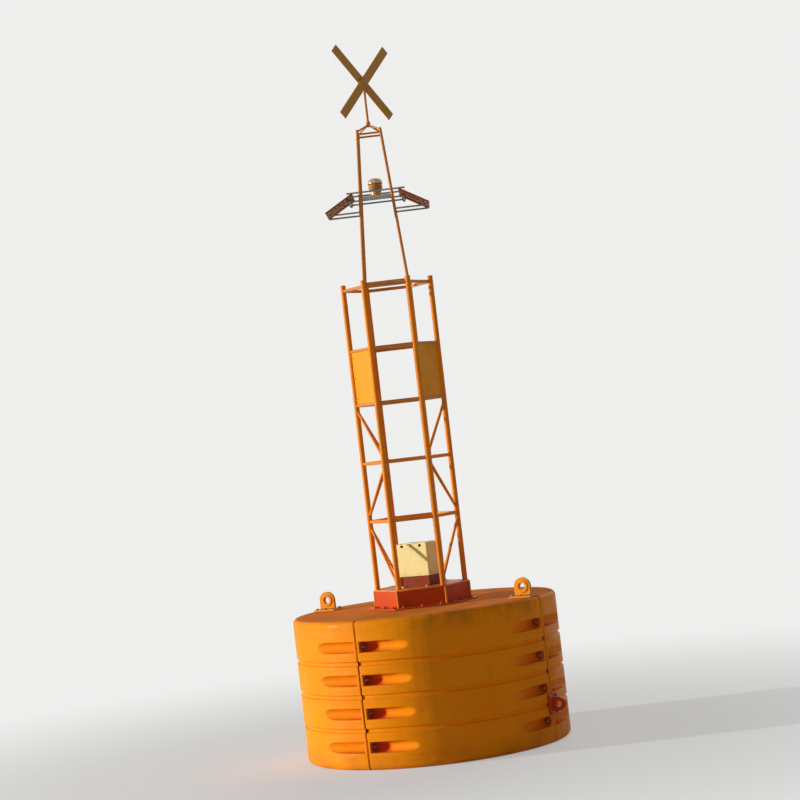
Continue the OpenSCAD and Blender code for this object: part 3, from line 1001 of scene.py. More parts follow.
class Frame:
    """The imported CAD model, with the finishes that go on it."""

    def __init__(self) -> None:
        """Loads the frame and notes its box."""
        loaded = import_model()
        self.nodes: dict[str, bpy.types.Object] = loaded["nodes"]
        self.slots = {row["node"]: row.get("material_slot")
                      for row in loaded["record"].get("subparts", [])}
        self.cad_box = [list(corner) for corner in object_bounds()]
        self.palette = Palette()

    def paint(self, finish: Finish, *names: str) -> None:
        """Gives CAD nodes a finish.

        Args:
            finish: The finish.
            names: The nodes.
        """
        material = self.palette.get(finish)
        for name in names:
            thing = self.nodes[name]
            for holder in thing.material_slots:
                holder.material = material
            LOG.info("%s: CAD node in %s", name, finish.name)

    def piece(self, shape: Shape, name: str, slot: Slot | None, *finishes: Finish,
              body: Body = Body.BUOY, sharp: float = 38.0) -> bpy.types.Object:
        """Makes a gathered shape one object and lets it ride.

        Args:
            shape: The shape.
            name: Name of the piece.
            slot: The record's slot that the piece belongs to; not used.
            finishes: Its finishes, by number.
            body: Body that it moves with.
            sharp: Angle in degrees above which an edge stays sharp.

        Returns:
            The object.
        """
        mesh = bpy.data.meshes.new(name)
        mesh.from_pydata([tuple(point) for point in shape.points], [], shape.faces)
        for finish in finishes:
            mesh.materials.append(self.palette.get(finish))
        mesh.polygons.foreach_set("material_index", shape.marks)
        tidy = bmesh.new()
        tidy.from_mesh(mesh)
        bmesh.ops.recalc_face_normals(tidy, faces=tidy.faces)
        tidy.to_mesh(mesh)
        tidy.free()
        mesh.shade_smooth()
        mesh.set_sharp_from_angle(angle=math.radians(sharp))
        thing = bpy.data.objects.new(name, mesh)
        bpy.context.scene.collection.objects.link(thing)
        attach(thing, body.value)
        LOG.info("%s: %d faces on %s", name, len(mesh.polygons), body.value)
        return thing

    def rounded(self, name: str, finish: Finish, width: float, limit: float = 30.0,
                body: Body = Body.BUOY) -> bpy.types.Object:
        """Makes a piece of a CAD node's shape with its sharp edges rounded.

        Args:
            name: The node, which the piece stands for.
            finish: Its finish.
            width: Width of the rounding.
            limit: Angle in degrees above which an edge is rounded.
            body: Body that it moves with.

        Returns:
            The object.
        """
        source = self.nodes[name].data
        solid = bmesh.new()
        solid.from_mesh(source)
        bmesh.ops.remove_doubles(solid, verts=list(solid.verts), dist=SAME_POINT)
        bmesh.ops.dissolve_limit(solid, angle_limit=math.radians(SAME_PLANE),
                                 verts=list(solid.verts), edges=list(solid.edges))
        keen = [edge for edge in solid.edges if len(edge.link_faces) == 2
                and edge.calc_face_angle(0.0) > math.radians(limit)]
        bmesh.ops.bevel(solid, geom=keen, offset=width, segments=2, profile=0.5,
                        affect="EDGES", clamp_overlap=True)
        solid.verts.index_update()
        shape = Shape()
        shape.add([tuple(vert.co) for vert in solid.verts],
                  [[vert.index for vert in face.verts] for face in solid.faces])
        solid.free()
        slot = next((item for item in Slot if item.value == self.slots.get(name)), None)
        thing = self.piece(shape, f"{name}_dressed", slot, finish, body=body, sharp=50.0)
        smooth = thing.modifiers.new("even_light", "WEIGHTED_NORMAL")
        smooth.keep_sharp = True
        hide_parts(name)
        return thing


# Float


@dataclass
class FloatBody:
    """The moulded float: four quarters with tie channels, flanges and grooves."""

    frame: Frame
    radius: float = 1.2
    height: float = 1.3
    half_gap: float = 0.006
    seam: float = -30.0
    rim: float = 0.040
    foot: float = 0.045
    groove_depth: float = 0.016
    groove_half: float = 0.022
    groove_side: float = 0.0096
    channel_half: float = 0.048
    channel_depth: float = 0.094
    flange: float = 0.022
    lowest: float = 0.200
    highest: float = 1.070
    rows: int = 4
    core: float = 0.298
    recess: float = 0.480
    recess_height: float = 0.050
    lip: float = 0.005
    fillet: float = 0.006
    seam_round: float = 0.006
    edge_round: float = 0.008
    edge_corner: float = 0.0023
    groove_soft: float = 0.0012
    # Reach from the closed end and fade length of the painted shade in the tie channels
    shade_reach: float = 0.19
    shade_fade: float = 0.07
    thread: float = 0.020
    thread_end: float = 0.016
    nut_turn: float = 170.0
    washer: float = 0.036
    washer_thick: float = 0.006
    washer_edge: float = 0.0015
    foot_steps: int = 6
    rim_steps: int = 7
    middle_columns: int = 18
    tallest_face: float = 0.04
    recess_rings: Row = (0.36, 0.42)
    bottom_rings: Row = (0.56, 0.7, 0.85, 1.0)
    deck_rings: Row = (1.1, 1.02, 0.92, 0.82, 0.72, 0.62, 0.52, 0.42, 0.36)
    # Places of the wall's rows and columns in millimetres, chosen to lie close together where
    # the wall bends: from a channel's middle, from a groove's middle, from the seam's plane
    # and from a channel's closed end
    channel_rows: Row = (
        0.0, 7.0, 13.5, 19.5, 24.5, 28.5, 31.5, 34.0, 36.0, 38.0, 40.0, 42.0, 44.0, 46.0, 47.2,
        47.9, 48.1, 48.6, 49.6, 51.2, 53.1)
    groove_rows: Row = (0.0, 7.0, 10.8, 12.2, 13.4, 17.0, 20.6, 21.8, 23.0, 25.0)
    seam_columns: Row = (0.0, 0.4, 1.1, 2.2, 3.8, 6.0, 11.0)
    channel_columns: Row = (
        -5.1, -3.4, -1.9, -0.8, -0.2, 0.1, 1.0, 2.8, 6.1, 14.0, 26.0, 42.0, 60.0, 80.0, 100.0,
        120.0, 140.0, 160.0, 180.0, 198.0, 214.0, 228.0, 241.0, 253.0, 264.0, 274.0, 283.0,
        291.5, 299.5, 307.0, 314.0, 321.0, 327.5, 334.0, 340.0, 346.0, 352.0, 358.0, 364.0,
        370.0, 376.0, 382.0, 388.0, 394.0, 400.0, 406.0, 412.0, 418.0, 424.0, 429.0, 433.5,
        438.0, 443.0, 450.0, 462.0)

    @property
    def channel_heights(self) -> list[float]:
        """Heights of the rows of tie channels."""
        pitch = (self.highest - self.lowest) / (self.rows - 1)
        return [self.lowest + pitch * row for row in range(self.rows)]

    @property
    def groove_heights(self) -> list[float]:
        """Heights of the grooves, halfway between the rows."""
        heights = self.channel_heights
        return [(low + high) / 2.0 for low, high in zip(heights, heights[1:])]

    @property
    def near(self) -> float:
        """Distance of a channel's closed end from the seam's plane."""
        return self.half_gap + self.flange

    @property
    def bolt_radius(self) -> float:
        """Distance of the tie bolts from the float's axis, along the seam."""
        return self.radius - self.channel_depth + self.channel_half

    @property
    def seams(self) -> list[float]:
        """Azimuths of the four seams."""
        return [self.seam + 90.0 * index for index in range(4)]

    def wall_heights(self) -> list[float]:
        """Chooses the heights of the wall's rows, close together at every edge.

        Returns:
            The heights, rising.
        """
        marks = {self.foot, self.height - self.rim}
        for centres, steps in ((self.channel_heights, self.channel_rows),
                               (self.groove_heights, self.groove_rows)):
            for centre in centres:
                for step in steps:
                    marks.update((centre - step / MM_PER_M, centre + step / MM_PER_M))
        kept = sorted(mark for mark in marks if self.foot <= mark <= self.height - self.rim)
        full: list[float] = []
        for low, high in zip(kept, kept[1:]):
            count = max(1, math.ceil((high - low) / self.tallest_face))
            full.extend(low + (high - low) * part / count for part in range(count))
        return full + [kept[-1]]

    def columns(self) -> list[float]:
        """Chooses the columns' angles on the wall, close together at seams and channels.

        Returns:
            The angles in radians, from one seam face to the other.
        """
        marks = [MM_PER_M * self.half_gap + step for step in self.seam_columns]
        marks += [MM_PER_M * self.near + step for step in self.channel_columns]
        angles = [math.asin(mark / MM_PER_M / self.radius) for mark in marks]
        last, count = angles[-1], self.middle_columns
        middle = [last + (math.pi / 2 - 2 * last) * part / count for part in range(1, count)]
        return angles + middle + [math.pi / 2 - angle for angle in reversed(angles)]

    def groove(self, height: float) -> float:
        """Works out the depth of the wall's grooves at a height.

        Args:
            height: Height above the floor.

        Returns:
            How far the wall is let in there.
        """
        away = min(abs(height - centre) for centre in self.groove_heights)
        total = 0.0
        for shift, weight in ((-self.groove_soft, 0.25), (0.0, 0.5), (self.groove_soft, 0.25)):
            share = (self.groove_half - away + shift) / self.groove_side
            total += weight * min(1.0, max(0.0, share))
        return self.groove_depth * total

    def sunk(self, out: float, side: float, height: float) -> float:
        """Lets the wall in where a tie channel runs.

        Args:
            out: Distance of the wall square to the seam's own radius.
            side: Distance from the seam's plane.
            height: Height above the floor.

        Returns:
            The new distance.
        """
        half = self.channel_half
        away = min(abs(height - centre) for centre in self.channel_heights)
        above, across = away - half, self.near - side
        if max(above, across) > self.lip:
            return out
        round_rise = half - math.sqrt(half * half - min(away, half) ** 2)
        bed = self.radius - self.channel_depth + round_rise
        if above < 0.0 and across < 0.0:
            ease = max(0.0, 1.0 + across / self.fillet)
            bed += self.fillet * (1.0 - math.sqrt(1.0 - ease * ease))
            blend = max(0.0, 1.0 - abs(out - bed) / self.fillet)
            return min(out, bed) - blend * blend * self.fillet / 4.0
        outside = math.hypot(max(0.0, across), max(0.0, above))
        wall = min(1.0, max(0.0, (out - bed) / self.lip))
        ease = wall * max(0.0, 1.0 - outside / self.lip)
        return out - self.lip * (1.0 - math.sqrt(1.0 - ease * ease))

    def closed_end_shade(self, depth: float, side: float) -> float:
        """Tells how far a point lies in a channel's closed end, which sets its share of painted
        shade.

        Args:
            depth: How far the wall is let in.
            side: Distance from the seam's plane.

        Returns:
            A share from 0 to 1.
        """
        run = min(1.0, max(0.0, (self.shade_reach - side + self.near) / self.shade_fade))
        return min(1.0, depth / self.channel_half) * run

    def profile(self) -> list[tuple[float, float, bool]]:
        """Runs once round a quarter's section.

        Returns:
            Radius, height and whether the point is on the wall, from the recess outwards.
        """
        size, corner = self.edge_round, self.edge_corner
        inner = (self.core, *self.recess_rings, self.recess)
        run = [(radius, self.recess_height) for radius in inner]
        run += [(self.recess, size), (self.recess + corner, corner), (self.recess + size, 0.0)]
        run += [(radius, 0.0) for radius in self.bottom_rings]
        for step in range(self.foot_steps):
            angle = math.radians(90.0 / self.foot_steps * step - 90.0)
            run.append((self.radius - self.foot + self.foot * math.cos(angle),
                        self.foot + self.foot * math.sin(angle)))
        points = [(radius, height, False) for radius, height in run]
        for height in self.wall_heights():
            points.append((self.radius - self.groove(height), height, True))
        for step in range(1, self.rim_steps + 1):
            angle = math.radians(90.0 / self.rim_steps * step)
            points.append((self.radius - self.rim + self.rim * math.cos(angle),
                           self.height - self.rim + self.rim * math.sin(angle), False))
        points += [(radius, self.height, False) for radius in self.deck_rings]
        points += [(self.core + size, self.height, False),
                   (self.core + corner, self.height - corner, False),
                   (self.core, self.height - size, False)]
        return points

    def quarter(self) -> tuple[list[Point], list[tuple[int, ...]], list[float]]:
        """Makes the skin of one quarter, with its seam faces and painted shade in the channels'
        closed ends on the nut side.

        Returns:
            Points, faces, and how far each point lies in a channel's closed end, from 0 to 1.
        """
        profile = self.profile()
        count = len(profile)
        angles = self.columns()
        first, last = angles[0], angles[-1]
        points: list[Point] = []
        depths: list[float] = []
        for angle in angles:
            share = (angle - first) / (last - first)
            side = self.radius * min(math.sin(angle), math.cos(angle)) - self.half_gap
            ease = max(0.0, 1.0 - side / self.seam_round)
            inset = self.seam_round * (1.0 - math.sqrt(1.0 - ease * ease))
            for index, (radius, height, wall) in enumerate(profile):
                before, after = profile[index - 1], profile[(index + 1) % count]
                run = Vector((after[0] - before[0], after[1] - before[1])).normalized()
                outer = 0 < index < count - 1 and radius > self.core + CLEAR
                shift = inset if outer else 0.0
                away, level = radius - run.y * shift, height + run.x * shift
                edge = math.asin(self.half_gap / away)
                turn = edge + (math.pi / 2 - 2 * edge) * share
                x, y = away * math.cos(turn), away * math.sin(turn)
                depth = 0.0
                if wall:
                    # The nut side's channels carry painted shade in their closed ends
                    if x >= y:
                        new = self.sunk(x, y, height)
                        depth, x = self.closed_end_shade(x - new, y), new
                    else:
                        y = self.sunk(y, x, height)
                points.append((x, y, level))
                depths.append(depth)
        faces: list[tuple[int, ...]] = []
        for column in range(len(angles) - 1):
            low, high = column * count, (column + 1) * count
            for index in range(count):
                after = (index + 1) % count
                faces.append((low + index, high + index, high + after, low + after))
        faces.append(tuple(range(count)))
        faces.append(tuple(reversed(range(len(points) - count, len(points)))))
        return points, faces, depths

    def modules(self) -> None:
        """Makes the four quarters, each in place of its CAD node."""
        points, faces, depths = self.quarter()
        for letter, seam in zip("abcd", self.seams):
            shape = Shape()
            shape.add(points, faces, Matrix.Rotation(math.radians(seam - 90.0), 4, "Z"))
            name = f"float_module_{letter}"
            thing = self.frame.piece(shape, f"{name}_skin", Slot.FLOAT, Palette.FLOAT, sharp=44.0)
            # Share of painted shade in the channels' closed ends, read by the float's material
            stored = thing.data.attributes.new("recess", "FLOAT", "POINT")
            stored.data.foreach_set("value", depths)
            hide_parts(name)

    def tie_bolts(self) -> None:
        """Makes the tie bolts through the flanges, with heads left of a seam and nuts right."""
        shape = Shape()
        bolt = Bolt(self.thread)
        size, thick, edge = self.washer, self.washer_thick, self.washer_edge
        washer = [(0.0, 0.0), (size - edge, 0.0), (size, edge), (size, thick - edge),
                  (size - edge, thick), (0.0, thick)]
        for seam in self.seams:
            turn = Matrix.Rotation(math.radians(seam - 90.0), 4, "Z")
            for height in self.channel_heights:
                spot = Vector((self.bolt_radius, 0.0, height))
                for side in (-1.0, 1.0):
                    foot = turn @ (spot + Vector((0.0, side * self.near, 0.0)))
                    aim = turn.to_3x3() @ Vector((0.0, side, 0.0))
                    shape.finish = 0
                    shape.lathe(washer, facing(foot, aim), 40)
                    shape.finish = 1
                    seat = facing(foot + aim * thick, aim, self.nut_turn * height)
                    if side > 0.0:
                        bolt.nut(shape, seat, self.thread_end)
                    else:
                        bolt.head(shape, seat)
        self.frame.piece(shape, "tie_bolts", Slot.ZINC, Palette.BASE, Palette.BOLT)

    def build(self) -> None:
        """Builds the float and what ties it together."""
        self.modules()
        self.tie_bolts()


@dataclass
class Core:
    """Steel core of the float, its bottom plate, ballast and the plates in two seams."""

    frame: Frame
    plate_under: float = 0.030
    bolt_ring: float = 0.425
    bolts: int = 12
    thread: float = 0.020
    head_turn: float = 20.0
    rounding: float = 0.002

    def build(self) -> None:
        """Finishes the core and bolts its bottom plate."""
        self.frame.paint(Palette.BASE, "core_tube", "seam_plates")
        self.frame.paint(Palette.IRON, "ballast_discs")
        self.frame.rounded("bottom_plate", Palette.BASE, self.rounding)
        shape = Shape()
        for index in range(self.bolts):
            angle = math.tau * (index + 0.5) / self.bolts
            spot = (self.bolt_ring * math.cos(angle), self.bolt_ring * math.sin(angle),
                    self.plate_under)
            place = facing(spot, DOWN, self.head_turn * index)
            Bolt(self.thread).head(shape, place)
        self.frame.piece(shape, "bottom_bolts", Slot.ZINC, Palette.BOLT)


@dataclass
class Lugs:
    """Lifting lugs on the deck and mooring lugs low on the wall, both over two seams."""

    frame: Frame
    azimuths: Pair = (60.0, 240.0)
    deck: float = 1.3
    lift_radius: float = 1.04
    lift_plate: float = 0.016
    lift_half_thick: float = 0.015
    lift_round: float = 0.080
    moor_face: float = 1.220
    moor_height: float = 0.345
    moor_half_tall: float = 0.060
    thread: float = 0.014
    lift_bolts: Pair = (0.058, 0.085)
    moor_bolts: Pair = (0.056, 0.070)
    bead: float = 0.005
    ripple: float = 0.007
    rounding: float = 0.003

    def outline(self, reach: Vector) -> list[Vector]:
        """Runs once round the foot of a plate that stands across the local X axis.

        Args:
            reach: From the plate's middle to one end.

        Returns:
            Its corners, with the first one again at the end.
        """
        side = Vector((self.lift_half_thick + CLEAR, 0.0, 0.0))
        return [side - reach, side + reach, reach - side, -side - reach, side - reach]

    def fittings(self) -> None:
        """Bolts and welds the lugs."""
        bolts, welds = Shape(), Shape()
        bolt = Bolt(self.thread)
        for azimuth in self.azimuths:
            top = around(azimuth, self.lift_radius, self.deck + self.lift_plate)
            x, y = self.lift_bolts
            for side in (-x, x):
                for along in (-y, 0.0, y):
                    bolt.head(bolts, top @ Matrix.Translation((side, along, 0.0)))
            ring = self.outline(Vector((0.0, self.lift_round, 0.0)))
            welds.seam([top @ corner for corner in ring], self.bead, self.ripple)
            wall = around(azimuth, self.moor_face, self.moor_height)
            out = wall @ Matrix.Rotation(math.radians(90.0), 4, "X")
            x, z = self.moor_bolts
            for side in (-x, x):
                for up in (-z, z):
                    bolt.head(bolts, out @ Matrix.Translation((side, up, 0.0)))
            ring = self.outline(Vector((0.0, 0.0, self.moor_half_tall)))
            welds.seam([wall @ corner for corner in ring], self.bead, self.ripple)
        self.frame.piece(bolts, "lug_bolts", Slot.ZINC, Palette.BOLT)
        self.frame.piece(welds, "lug_welds", Slot.LUG, Palette.WELD_BASE, sharp=WELD_SHARP)

    def build(self) -> None:
        """Builds the lugs' looks."""
        self.frame.rounded("lifting_lugs", Palette.LUG, self.rounding)
        self.frame.rounded("mooring_lugs", Palette.BASE, self.rounding)
        self.fittings()


# Tower


@dataclass
class Tower:
    """Six-legged lattice tower with its foot, bars, braces and daymarks."""

    frame: Frame
    radius: float = 0.4
    leg: float = 0.02415
    bar: float = 0.015
    brace: float = 0.012
    deck: float = 1.3
    foot_top: float = 1.47
    foot_apothem: float = 0.37956
    edge_bar: float = 0.009
    flange_apothem: float = 0.4330
    flange_thick: float = 0.012
    levels: Row = (2.095, 2.625, 3.160, 3.655, 4.215)
    leg_top: float = 4.261
    rail_height: float = 4.245
    rail: float = 0.014
    inset: float = 0.040
    azimuths: tuple[int, ...] = (-90, -30, 30, 90, 150, 210)
    braced: tuple[tuple[int, int], ...] = ((-90, -30), (90, 30), (90, 150), (-90, -150))
    panelled: tuple[int, ...] = (-90, 30, 90, 210)
    bar_bead: float = 0.0042
    brace_bead: float = 0.0038
    rail_bead: float = 0.0040
    leg_bead: float = 0.005
    leg_ripple: float = 0.0008
    foot_bead: float = 0.006
    foot_ripple: float = 0.008
    cap_edge: Outline = ((-0.0006, -0.004), (0.0016, -0.004), (0.0016, 0.002), (-0.002, 0.0055),
                         (-0.01087, 0.0085))
    cap_tip: float = 0.0095
    foot_thread: float = 0.016
    foot_thread_end: float = 0.010
    foot_bolt_x: float = 0.17
    edge_inset: float = 0.003
    panel_thread: float = 0.008
    panel_bolt_x: float = 0.155
    panel_bolt_shares: Row = (0.12, 0.5, 0.88)
    panel_front: float = 0.003
    tab: Point = (0.062, 0.005, 0.034)
    tab_in: float = 0.0055
    tab_shift: float = 0.008
    rib: Point = (0.33, 0.010, 0.004)
    rib_in: float = 0.008
    rib_inset: float = 0.024

    def post(self, azimuth: float, height: float) -> Vector:
        """A point on the axis of the leg at an azimuth."""
        return around(azimuth, self.radius, height).translation

    def leg_tube(self, azimuth: float) -> Tube:
        """The leg at an azimuth."""
        return Tube(self.post(azimuth, self.foot_top), self.post(azimuth, self.leg_top), self.leg)

    def braces(self) -> list[tuple[Tube, int, int]]:
        """Lists the diagonal braces.

        Returns:
            Each brace, with the azimuths of the legs at its upper and lower end.
        """
        found = []
        bays = ((self.foot_top, self.levels[0]), (self.levels[0], self.levels[1]),
                (self.levels[1], self.levels[2]))
        for outer, inner in self.braced:
            for index, (low, high) in enumerate(bays):
                upper, lower = (outer, inner) if index % 2 == 0 else (inner, outer)
                tube = Tube(self.post(upper, high - self.inset),
                            self.post(lower, low + self.inset), self.brace)
                found.append((tube, upper, lower))
        return found

    def welds(self) -> None:
        """Lays the weld beads of the bars, braces and legs."""
        shape = Shape()
        for height in self.levels:
            for azimuth in self.azimuths:
                bar = Tube(self.post(azimuth, height), self.post(azimuth + 60, height), self.bar)
                shape.fillet(bar, self.leg_tube(azimuth), self.bar_bead)
                shape.fillet(bar.flipped(), self.leg_tube(azimuth + 60), self.bar_bead)
        for brace, upper, lower in self.braces():
            shape.fillet(brace, self.leg_tube(upper), self.brace_bead)
            shape.fillet(brace.flipped(), self.leg_tube(lower), self.brace_bead)
        for side in (-1, 1):
            for azimuth in (side * 30, side * 150):
                foot = self.post(azimuth, self.rail_height)
                rail = Tube(foot, Vector((foot.x, 0.0, foot.z)), self.rail)
                shape.fillet(rail, self.leg_tube(azimuth), self.rail_bead)
        steps = range(36)
        radii = [self.leg_bead + self.leg_ripple * (step % 2) for step in steps]
        for azimuth in self.azimuths:
            centre = self.post(azimuth, self.foot_top + CLEAR)
            ring = [centre + (self.leg + CLEAR) * Vector((math.cos(angle), math.sin(angle), 0.0))
                    for angle in (math.tau * step / len(steps) for step in steps)]
            shape.sweep(ring, radii, 6, closed=True)
        self.frame.piece(shape, "tower_welds", Slot.FRAME, Palette.WELD_FRAME, sharp=WELD_SHARP)

    def caps(self) -> None:
        """Closes the tops of the legs with domed caps."""
        shape = Shape()
        for azimuth in self.azimuths:
            top = Matrix.Translation(self.post(azimuth, self.leg_top))
            shape.collar(self.leg, self.cap_edge, top, 32, self.cap_tip)
        self.frame.piece(shape, "leg_caps", Slot.FRAME, Palette.FRAME)

    def foot(self) -> None:
        """Bolts and welds the hexagonal foot."""
        bolts, welds = Shape(), Shape()
        top = self.deck + self.flange_thick
        ring = (self.foot_apothem + self.flange_apothem) / 2.0
        for index in range(6):
            side = around(60.0 * index, ring, top)
            for x in (-self.foot_bolt_x, 0.0, self.foot_bolt_x):
                place = side @ Matrix.Translation((x, 0.0, 0.0))
                Bolt(self.foot_thread).nut(bolts, place, self.foot_thread_end)
        corner = self.foot_apothem / math.cos(math.radians(30.0)) + 2.0 * CLEAR
        low = [around(60.0 * index + 30.0, corner, top + CLEAR).translation for index in range(7)]
        welds.seam(low, self.foot_bead, self.foot_ripple)
        self.frame.piece(bolts, "foot_bolts", Slot.BASE, Palette.BASE)
        self.frame.piece(welds, "foot_welds", Slot.BASE, Palette.WELD_BASE, sharp=WELD_SHARP)

    def foot_edges(self) -> None:
        """Runs round bars along the upper rim and the corners of the foot."""
        shape = Shape()
        corner = self.foot_apothem / math.cos(math.radians(30.0))
        size, inset = self.edge_bar, self.edge_inset
        top = [around(60.0 * index + 30.0, corner - inset, self.foot_top - inset).translation
               for index in range(6)]
        path: list[Vector] = []
        for start, end in zip(top, top[1:] + top[:1]):
            path += [start.lerp(end, share) for share in (0.02, 0.35, 0.65, 0.98)]
        shape.sweep(path, size, 12, closed=True)
        for point in top:
            foot = Vector((point.x, point.y, self.deck + self.flange_thick - CLEAR))
            shape.sweep([foot.lerp(point, share / 6.0) for share in range(7)], size, 12)
        self.frame.piece(shape, "foot_edge_bars", Slot.BASE, Palette.FRAME)

    def daymark_fixings(self) -> None:
        """Fixes the daymark panels with tabs, bolts and pressed ribs."""
        tabs, bolts = Shape(), Shape()
        low, high = self.levels[2], self.levels[3]
        apothem = self.radius * math.cos(math.radians(30.0))
        outwards = Matrix.Rotation(math.radians(90.0), 4, "X")
        for face in self.panelled:
            middle = face + 30.0
            for side in (-1.0, 1.0):
                x = Matrix.Translation((side * self.panel_bolt_x, 0.0, 0.0))
                shift = Matrix.Translation((side * self.tab_shift, 0.0, 0.0))
                for share in self.panel_bolt_shares:
                    height = low + (high - low) * share
                    spot = around(middle, apothem + self.panel_front, height)
                    Bolt(self.panel_thread).head(bolts, spot @ x @ outwards)
                    inner = around(middle, apothem - self.tab_in, height)
                    tabs.box(self.tab, inner @ x @ shift, SHEET_ROUND)
            for height in (low + self.rib_inset, high - self.rib_inset):
                tabs.box(self.rib, around(middle, apothem - self.rib_in, height), 0.001)
        self.frame.piece(tabs, "daymark_tabs", Slot.DAYMARK, Palette.DAYMARK)
        self.frame.piece(bolts, "daymark_bolts", Slot.DAYMARK, Palette.DAYMARK)

    def build(self) -> None:
        """Builds the tower's looks."""
        frame = self.frame
        frame.rounded("deck_flange", Palette.BASE, 0.0025)
        frame.rounded("base_box", Palette.BASE, 0.005)
        frame.rounded("daymark_panels", Palette.DAYMARK, SHEET_ROUND)
        frame.paint(Palette.FRAME, "tower_legs", "level_bars_2", "level_bars_3",
                    "diagonal_braces")
        frame.paint(Palette.FRAME_SHADED, "level_bars_4", "level_bars_5", "ring_bars", "mast_rails",
                    "mast_foot_bars")
        self.welds()
        self.caps()
        self.foot()
        self.foot_edges()
        self.daymark_fixings()


# Mast and what it carries


@dataclass
class Mast:
    """Tapered mast on the tower, with its platform, rails and top frame."""

    frame: Frame
    foot_height: float = 4.245
    foot_half: float = 0.200
    head_height: float = 5.612
    head_half: float = 0.107
    top: float = 5.650
    leg: float = 0.013
    rail_x: float = 0.245
    rail_height: float = 5.005
    rail: float = 0.010
    cross: float = 0.008
    frame_bar: float = 0.009
    hip: float = 0.008
    hip_height: float = 5.638
    socket_low: float = 5.683
    socket: float = 0.018
    strut: float = 0.008
    strut_height: float = 4.900
    strut_end: Point = (0.465, 0.153, 4.900)
    rail_reach: float = 0.275
    top_bar_height: float = 5.082
    top_bar_reach: float = 0.262
    mast_rail: float = 0.014
    mast_rail_half: float = 0.346
    foot_bar: float = 0.012
    socket_height: float = 0.050
    hip_end: float = 0.020
    rail_bead: float = 0.0035
    foot_bead: float = 0.0034
    frame_bead: float = 0.0028
    bead: float = 0.0026
    plug_edge: Outline = ((-0.0003, -0.006), (0.0012, -0.0055), (0.0014, 0.0005),
                          (-0.0015, 0.0032))
    plug_tip: float = 0.0038
    cap_edge: Outline = ((-0.0004, -0.003), (0.0012, -0.003), (0.0012, 0.0015), (-0.002, 0.004))
    cap_tip: float = 0.0055

    def half(self, height: float) -> float:
        """Half the mast's width at a height."""
        share = (height - self.foot_height) / (self.head_height - self.foot_height)
        return self.foot_half + (self.head_half - self.foot_half) * share

    def corner(self, x: int, y: int, height: float) -> Vector:
        """A point on the axis of one mast leg."""
        half = self.half(height)
        return Vector((x * half, y * half, height))

    def leg_tube(self, x: int, y: int) -> Tube:
        """One mast leg."""
        return Tube(self.corner(x, y, self.foot_height), self.corner(x, y, self.top), self.leg)

    def joints(self, x: int, y: int) -> list[tuple[Tube, Tube, float]]:
        """Lists the welded joints of one corner of the mast.

        Args:
            x: -1 for the left side, 1 for the right one.
            y: -1 for the front side, 1 for the back one.

        Returns:
            Each bar, what it meets and the size of the bead.
        """
        leg, foot, bead = self.leg_tube(x, y), self.foot_height, self.bead
        rail = Tube(Vector((x * self.foot_half, -self.mast_rail_half, foot)),
                    Vector((x * self.foot_half, self.mast_rail_half, foot)), self.mast_rail)
        under = Tube(Vector((x * self.rail_x, -self.rail_reach, self.rail_height)),
                     Vector((x * self.rail_x, self.rail_reach, self.rail_height)), self.rail)
        low = self.socket_low * UP
        pipe = Tube(low, low + self.socket_height * UP, self.socket)
        found = [(leg, rail, self.rail_bead)]
        start = Vector((x * self.foot_half, y * self.foot_half, foot))
        bar = Tube(start, Vector((0.0, start.y, foot)), self.foot_bar)
        found.append((bar, rail, self.foot_bead))
        head = self.corner(x, y, self.head_height)
        for end in (self.corner(-x, y, self.head_height), self.corner(x, -y, self.head_height)):
            found.append((Tube(head, end, self.frame_bar), leg, self.frame_bead))
        hip = Tube(self.corner(x, y, self.hip_height), low + self.hip_end * UP, self.hip)
        found += [(hip, leg, bead), (hip.flipped(), pipe, bead)]
        for level in (self.rail_height, self.top_bar_height):
            post = self.corner(x, y, level)
            for reach in (0.0, self.rail_x):
                bar = Tube(post, Vector((x * reach, post.y, level)), self.cross)
                found.append((bar, leg, bead))
        post = self.corner(x, y, self.rail_height)
        found.append((Tube(post, Vector((post.x, 0.0, post.z)), self.cross), leg, bead))
        start = Vector((x * self.rail_x, post.y, post.z))
        found.append((Tube(start, Vector((0.0, start.y, start.z)), self.cross), under, bead))
        reach, out, level = self.strut_end
        found.append((Tube(self.corner(x, y, self.strut_height),
                           Vector((x * reach, y * out, level)), self.strut), leg, bead))
        return found

    def welds(self) -> None:
        """Lays the weld beads of the mast."""
        shape = Shape()
        for x, y in CORNERS:
            for bar, post, size in self.joints(x, y):
                shape.fillet(bar, post, size, 22)
        self.frame.piece(shape, "mast_welds", Slot.FRAME, Palette.WELD_FRAME, sharp=WELD_SHARP)

    def plugs(self) -> None:
        """Closes the ends of the rails and of the bars over the platform."""
        shape = Shape()
        for x, y in CORNERS:
            rail = Vector((x * self.rail_x, y * self.rail_reach, self.rail_height))
            half = self.half(self.top_bar_height)
            bar = Vector((x * self.top_bar_reach, y * half, self.top_bar_height))
            for spot, aim, radius in ((rail, (0.0, y, 0.0), self.rail),
                                      (bar, (x, 0.0, 0.0), self.cross)):
                shape.collar(radius, self.plug_edge, facing(spot, aim), 24, self.plug_tip)
        self.frame.piece(shape, "rail_plugs", Slot.ZINC, Palette.RUBBER)

    def caps(self) -> None:
        """Closes the tops of the mast's legs."""
        shape = Shape()
        for x, y in CORNERS:
            leg = self.leg_tube(x, y)
            top = facing(leg.end, leg.along)
            shape.collar(self.leg, self.cap_edge, top, 20, self.cap_tip)
        self.frame.piece(shape, "mast_caps", Slot.FRAME, Palette.FRAME_SHADED)

    def build(self) -> None:
        """Builds the mast's looks."""
        frame = self.frame
        frame.paint(Palette.FRAME_SHADED, "mast_legs", "mast_frame", "hip_bars")
        frame.paint(Palette.ZINC, "cross_bars", "solar_struts", "panel_rails", "top_bars")
        frame.rounded("platform", Palette.ZINC, SHEET_ROUND)
        self.welds()
        self.caps()
        self.plugs()


